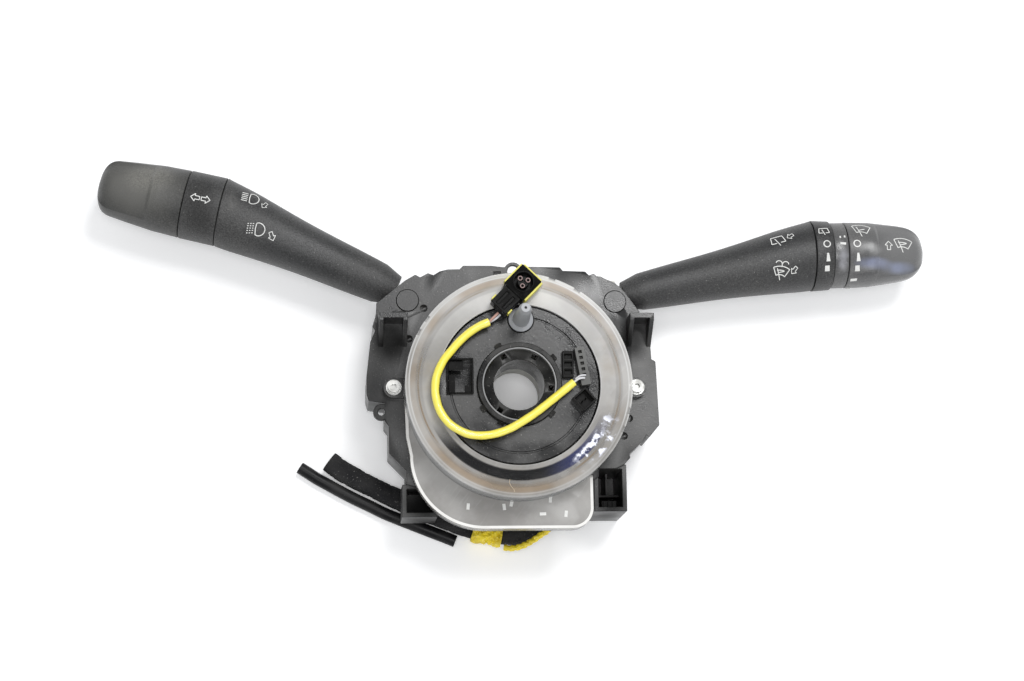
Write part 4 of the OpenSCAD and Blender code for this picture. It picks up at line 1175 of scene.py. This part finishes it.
@dataclass
class Harness:
    """The cut harness on the table: felt bundle, smooth tube, yellow tape and yellow lead, in millimetres."""

    dress: Dresser
    bundle_r: float = 4.8
    tube_r: float = 2.7
    tape_r: float = 6.4
    lead_r: float = 1.5
    bundle: tuple[Point, ...] = (
        (14.6, -51.6, 12), (14, -52.6, 9), (11.6, -54.8, 7.2), (7.4, -57.4, 6), (2, -58.6, 5.6), (-4, -58.4, 5.4),
        (-10, -57.2, 5.4), (-17.9, -55.4, 5.6), (-25, -53, 5.2), (-31.6, -50.6, 5), (-38, -47.9, 4.9),
        (-44, -45.3, 4.9), (-50, -42.5, 4.9), (-56.5, -39.5, 4.9), (-63, -36.1, 4.9), (-68.6, -33.3, 4.9),
        (-74, -30.2, 4.9), (-77.5, -27.8, 4.9), (-81, -25.2, 4.9))
    tube: tuple[Point, ...] = (
        (-25, -61, 2.8), (-30.4, -58.8, 2.8), (-36, -56.6, 2.8), (-43, -53.8, 2.8), (-50, -51, 2.8),
        (-56.6, -48.2, 2.8), (-63, -45, 2.8), (-69.6, -41.8, 2.8), (-76, -38.4, 2.8), (-81, -35.6, 2.8),
        (-86, -32.8, 2.8), (-90, -30.2, 2.8), (-94, -27.6, 2.8))
    tape: tuple[Point, ...] = ((-17.1, -55.9, 6.6), (-14, -56.8, 6.6), (-10, -57.4, 6.6), (-4.5, -58.3, 6.6))
    lead: tuple[Point, ...] = (
        (-4, -64.6, 9), (0, -65, 9.4), (4, -64.2, 10.4), (8, -62.4, 11.6), (12, -59.8, 12.8), (14.4, -58.4, 14.2),
        (15.8, -57.3, 15.4))

    @staticmethod
    def length(path: Array) -> float:
        """Length of a path in metres."""
        return float(np.linalg.norm(np.diff(path, axis=0), axis=1).sum()) * MM

    @staticmethod
    def around(path: Array, sides: int) -> tuple[Array, Array]:
        """Sample number along a path as a column and angle round it as a row."""
        return np.arange(len(path))[:, None], np.linspace(0, 2 * math.pi, sides, endpoint=False)

    def wrapped(self, path: Array) -> Object:
        """The felt wrap of the bundle: a spiral groove, two slow sine waves round the bundle and a fine fuzz."""
        m, a = self.around(path, 64)
        fuzz = 0.012 * np.random.default_rng(5).standard_normal((len(path), len(a)))
        turns = 0.95 - 0.05 * (np.sin(m * 0.4 + a) > 0.9)
        turns = turns + 0.03 * np.sin(2 * a + m * 0.16) + 0.015 * np.sin(5 * a - m * 0.37) + fuzz
        return make_object("harness_bundle_skin", *swept(path, self.bundle_r * turns, len(a)), CORD_SHARP_DEG)

    def crumpled(self, rng: np.random.Generator) -> Object:
        """The loose yellow tape: sine waves that cross each other and noise, drawn in at its left end."""
        path = smooth_path(self.tape, 0.6)
        m, a = self.around(path, 72)
        folds = 0.86 + 0.07 * np.sin(5 * a + m * 0.45) * np.sin(m * 0.8 + 2 * a)
        folds = folds + 0.05 * np.sin(11 * a - m * 0.9) + 0.045 * np.sin(m * 1.7 + 4 * a)
        folds = folds + 0.03 * rng.standard_normal(folds.shape)
        folds = folds + 0.05 * np.sin(m * 0.33 + 1.0) - 0.1 * np.exp(-m / 1.6)
        radius = self.tape_r * np.clip(folds, 0.6, 1.0)
        return make_object("harness_tape_skin", *swept(path, radius, len(a)), TAPE_SHARP_DEG)

    def wrinkled(self, rng: np.random.Generator) -> Object:
        """The cut yellow lead that stands up from the tape: two spiral sine waves and noise."""
        path = smooth_path(self.lead, 0.5)
        m, a = self.around(path, 32)
        folds = 0.86 + 0.12 * np.sin(m * 1.1 + 2 * a) + 0.06 * np.sin(m * 2.3 - 3 * a)
        folds = folds + 0.03 * rng.standard_normal((len(path), len(a)))
        radius = self.lead_r * np.clip(folds, 0.6, 1.0)
        return make_object("harness_lead_skin", *swept(path, radius, len(a)), CORD_SHARP_DEG)

    def build(self) -> None:
        put, rng = self.dress.piece, np.random.default_rng(7)
        path = smooth_path(self.bundle, 0.8)
        bundle = put(self.wrapped(path), "module", Look.FELT, "felt", "harness_bundle")
        tape = put(self.crumpled(rng), "module", Look.TAPE, "yellow_tape", "harness_tape")
        lead = put(self.wrinkled(rng), "module", Look.TAPE, "yellow_sleeve", "harness_lead")
        tuple(v * MM for v in self.bundle[0])
        self.length(path)
        path = smooth_path(self.tube, 1.2)
        skin = make_object("harness_tube_skin", *swept(path, self.tube_r, 24), CORD_SHARP_DEG)
        tube = put(skin, "module", Look.TUBE, "pvc_tube", "harness_tube")
        tuple(v * MM for v in self.tube[0])
        self.length(path)


@dataclass
class Module:
    """The carrier, the cassette and the rotor: CAD nodes with their finishes."""

    dress: Dresser
    plain: tuple[tuple[Look, str], ...] = (
        (Look.CARRIER, "left_case right_case left_lid right_lid left_pivots right_pivots rear_connector"),
        (Look.ZINC, "clamp_band clamp_screw clamp_nut module_screws clock_screws left_core right_core left_cross_pin"),
        (Look.ZINC, "right_cross_pin lock_spring left_detent_spring right_detent_spring"),
        (Look.NATURAL, "cancel_cam cancel_pawl left_yoke right_yoke left_detent right_detent"),
        (Look.BOARD, "left_board right_board"), (Look.FILM, "ribbon_cable"), (Look.ROTOR, "clock_base"),
        (Look.WALL, "ribbon_wall"), (Look.BRIGHT, "hub_ring"), (Look.STRIP, "rotor_header"),
        (Look.CLIP, "squib_clip"), (Look.PIN, "lock_plunger"))

    def build(self) -> None:
        """Paints the CAD nodes and rounds the edges of the visible mouldings."""
        for look, names in self.plain:
            for name in names.split():
                self.dress.node(name, look)
        rounded = self.dress.rounded
        rounded("carrier", "module", Look.CARRIER, "nylon_black", 0.22)
        rounded("clock_cover", "module", self.dress.paint.clear(), "clear_cover", 0.2)
        rounded("rotor_disc", "rotor", Look.ROTOR, "nylon_black", 0.25)
        rounded("rotor_hub", "rotor", Look.HUB, "nylon_black", 0.25)
        rounded("rotor_socket", "rotor", Look.SOCKET, "abs_black", 0.15)
        rounded("squib_connector", "rotor", Look.SOCKET, "abs_black", 0.3)


@dataclass
class Details:
    """Small marks and parts of the cassette that are too fine for the CAD solids, in millimetres."""

    dress: Dresser
    skirt_z: float = 44.06
    cover_z: float = 58.04
    squib_z: float = 68.46
    squib: Axes = Axes((-9.3, 31.6, 59.0), 45.6)
    slots: tuple[tuple[float, float, float], ...] = (
        (-21.8, -50.8, 84), (-6.3, -51.1, 96), (-3.1, -49.6, 78), (13.7, -48.0, 84), (20.4, -54.2, 84),
        (10.4, -54.2, 2))
    ribs: tuple[tuple[Point, Point], ...] = (
        ((36.2, -44.2, 3.2), (46.2, -43.4, 22.0)), ((40.8, -43.4, 3.2), (41.6, -33.6, 20.0)),
        ((38.2, -49.6, 3.2), (44.6, -46.4, 26.0)), ((38.8, -49.4, 26.0), (39.8, -46.6, 27.2)),
        ((40.8, -49.4, 26.0), (41.8, -46.6, 27.2)), ((42.8, -49.4, 26.0), (43.8, -46.6, 27.2)))
    steps: tuple[tuple[Point, Point], ...] = (
        ((-30.3, -3.4, 54.8), (-27.6, 4.2, 57.6)), ((-30.3, 6.4, 54.8), (-24.0, 10.3, 56.8)),
        ((-23.4, -3.4, 54.8), (-20.7, -0.6, 57.9)))

    @staticmethod
    def flat(z: float) -> Place:
        """A place function for a level surface."""
        return lambda points: np.column_stack([points, np.full(len(points), z)])

    @staticmethod
    def skirt_outline(inset: float) -> list[Flat]:
        """The free edge of the cover's skirt from its left end to its right end: two arcs and straight runs.

        Args:
            inset: distance inside the edge, in millimetres.

        Returns:
            Points in millimetres.
        """
        left = [(-48.6 + inset, -8.0), (-48.2 + inset, -20.4), (-46.5 + inset, -29.0)]
        big = arc(-14.6, -28.5, 32.0 - inset, 32.0 - inset, 184, 270, 40)
        small = arc(23.4, -51.5, 9.0 - inset, 9.0 - inset, 270, 360, 20)
        return left + big + small + [(32.4 - inset, -44.0), (32.4 - inset, -38.5)]

    def marks(self) -> None:
        """The pale slots and edge of the skirt, the thread on the cover and the connector's contacts."""
        put = self.dress.piece
        bar = [[(-1.1, 0.0), (-0.55, 0.0), (0.55, 0.0), (1.1, 0.0)]]
        slots = [Mark(bar, (x, y), turn, 1.35, 1.25) for x, y, turn in self.slots]
        put(decal("skirt_marks", self.flat(self.skirt_z), *slots), "module", Look.PAINT, "clear_cover")
        edge = Mark([self.skirt_outline(0.68)], (0.0, 0.0), 0, 1.2)
        put(decal("skirt_edge", self.flat(self.skirt_z + 0.05), edge), "module", Look.EDGE, "clear_cover")
        strand = [(-2.2, -41.2), (-2.5, -42.6), (-1.9, -44.0), (-0.6, -45.4), (-0.2, -46.6)]
        thread = Mark([strand], (-2.6, 0.0), 0, 0.22)
        put(decal("cover_thread", self.flat(self.cover_z), thread), "module", Look.WALL, "clear_cover")
        angle = np.radians([90, 210, 330])
        centres = self.squib.out(np.stack([15.6 + 2.0 * np.cos(angle), 2.0 * np.sin(angle), 0 * angle], -1))
        contacts = [Mark(circle_mark(0.85), (x, y), 0, 0.36) for x, y, _ in centres]
        put(decal("squib_contacts", self.flat(self.squib_z), *contacts), "rotor", Look.CONTACT, "abs_black")

    def build(self) -> None:
        """Makes the marks, the ribs of the right box and the steps in the left socket."""
        self.marks()
        ribs, steps = (join_parts(name, [box_part(low, high) for low, high in boxes], 30)
                       for name, boxes in (("right_box_ribs", self.ribs), ("left_socket_steps", self.steps)))
        self.dress.piece(ribs, "module", Look.CARRIER, "nylon_black")
        self.dress.piece(steps, "rotor", Look.SOCKET, "abs_black")


@dataclass(frozen=True)
class Studio:
    """Floor, lights and the camera at the photograph's angle; the eye is in millimetres, lamps in metres."""

    eye: Point = (-87.9, -180.97, 1034.1)
    toward: Point = (-0.085, -0.20, 0.976102)
    right: Point = (0.996381, -0.017062, 0.083270)
    up: Point = (0.0, 0.979647, 0.200726)
    lens: float = 81.76
    floor_half: float = 3.0
    floor_z: float = -0.0002
    lamps: tuple[tuple[str, Point, float, float], ...] = (
        ("key", (0.26, 0.46, 1.12), 0.42, 8.0), ("front", (-0.11, -0.22, 1.25), 0.4, 4.5),
        ("window", (0.5, -1.0, 0.6), 0.5, 2.0))

    def build(self) -> None:
        """Makes the stage, the lamps and the camera."""
        self.floor()
        world = bpy.data.worlds.new("studio")
        bpy.context.scene.world = world
        world.use_nodes = True
        world.node_tree.nodes["Background"].inputs["Color"].default_value = (0.96, 0.98, 1.0, 1)
        world.node_tree.nodes["Background"].inputs["Strength"].default_value = 0.5
        for name, where, size, power in self.lamps:
            self.lamp(name, where, size, power)
        camera = bpy.data.cameras.new("camera")
        camera.lens = self.lens
        camera.sensor_width = 36.0
        camera.clip_start = 0.01
        obj = add_object("camera", camera)
        turn = Matrix((self.right, self.up, self.toward)).transposed().to_4x4()
        obj.matrix_world = Matrix.Translation(Vector(self.eye) * MM) @ turn
        bpy.context.scene.camera = obj
        bpy.context.scene.view_settings.view_transform = "Standard"

    def floor(self) -> None:
        """A white table that glows a little, so that it stays as bright as in the photograph."""
        mesh = bpy.data.meshes.new("floor")
        half, z = self.floor_half, self.floor_z
        mesh.from_pydata([(-half, -half, z), (half, -half, z), (half, half, z), (-half, half, z)], [], [(0, 1, 2, 3)])
        floor = add_object("floor", mesh)
        mat = bpy.data.materials.new("floor_white")
        mat.use_nodes = True
        for key, value in {"Base Color": (0.93, 0.93, 0.935, 1), "Roughness": 0.9,
                           "Emission Color": (1.0, 1.0, 1.0, 1), "Emission Strength": 0.2}.items():
            mat.node_tree.nodes["Principled BSDF"].inputs[key].default_value = value
        mesh.materials.append(mat)

    @staticmethod
    def lamp(name: str, where: Point, size: float, power: float) -> None:
        """One soft square lamp that looks at the module.

        Args:
            name: object name.
            where: place in metres.
            size: edge length in metres.
            power: watts.
        """
        light = bpy.data.lights.new(name, "AREA")
        light.shape = "SQUARE"
        light.size = size
        light.energy = power
        obj = add_object(name, light)
        obj.location = where
        obj.rotation_euler = (-Vector(where)).to_track_quat("-Z", "Y").to_euler()


def main() -> None:
    """Builds the studio, the cords and every piece, and reports them."""
    logging.basicConfig(level=logging.INFO, format="%(message)s")
    Studio().build()
    dress = Dresser(Paintbox())
    Harness(dress).build()
    AirbagLead(dress).build()
    Module(dress).build()
    Details(dress).build()
    LeftStalk(dress).build()
    RightStalk(dress).build()


if __name__ == "__main__":
    main()
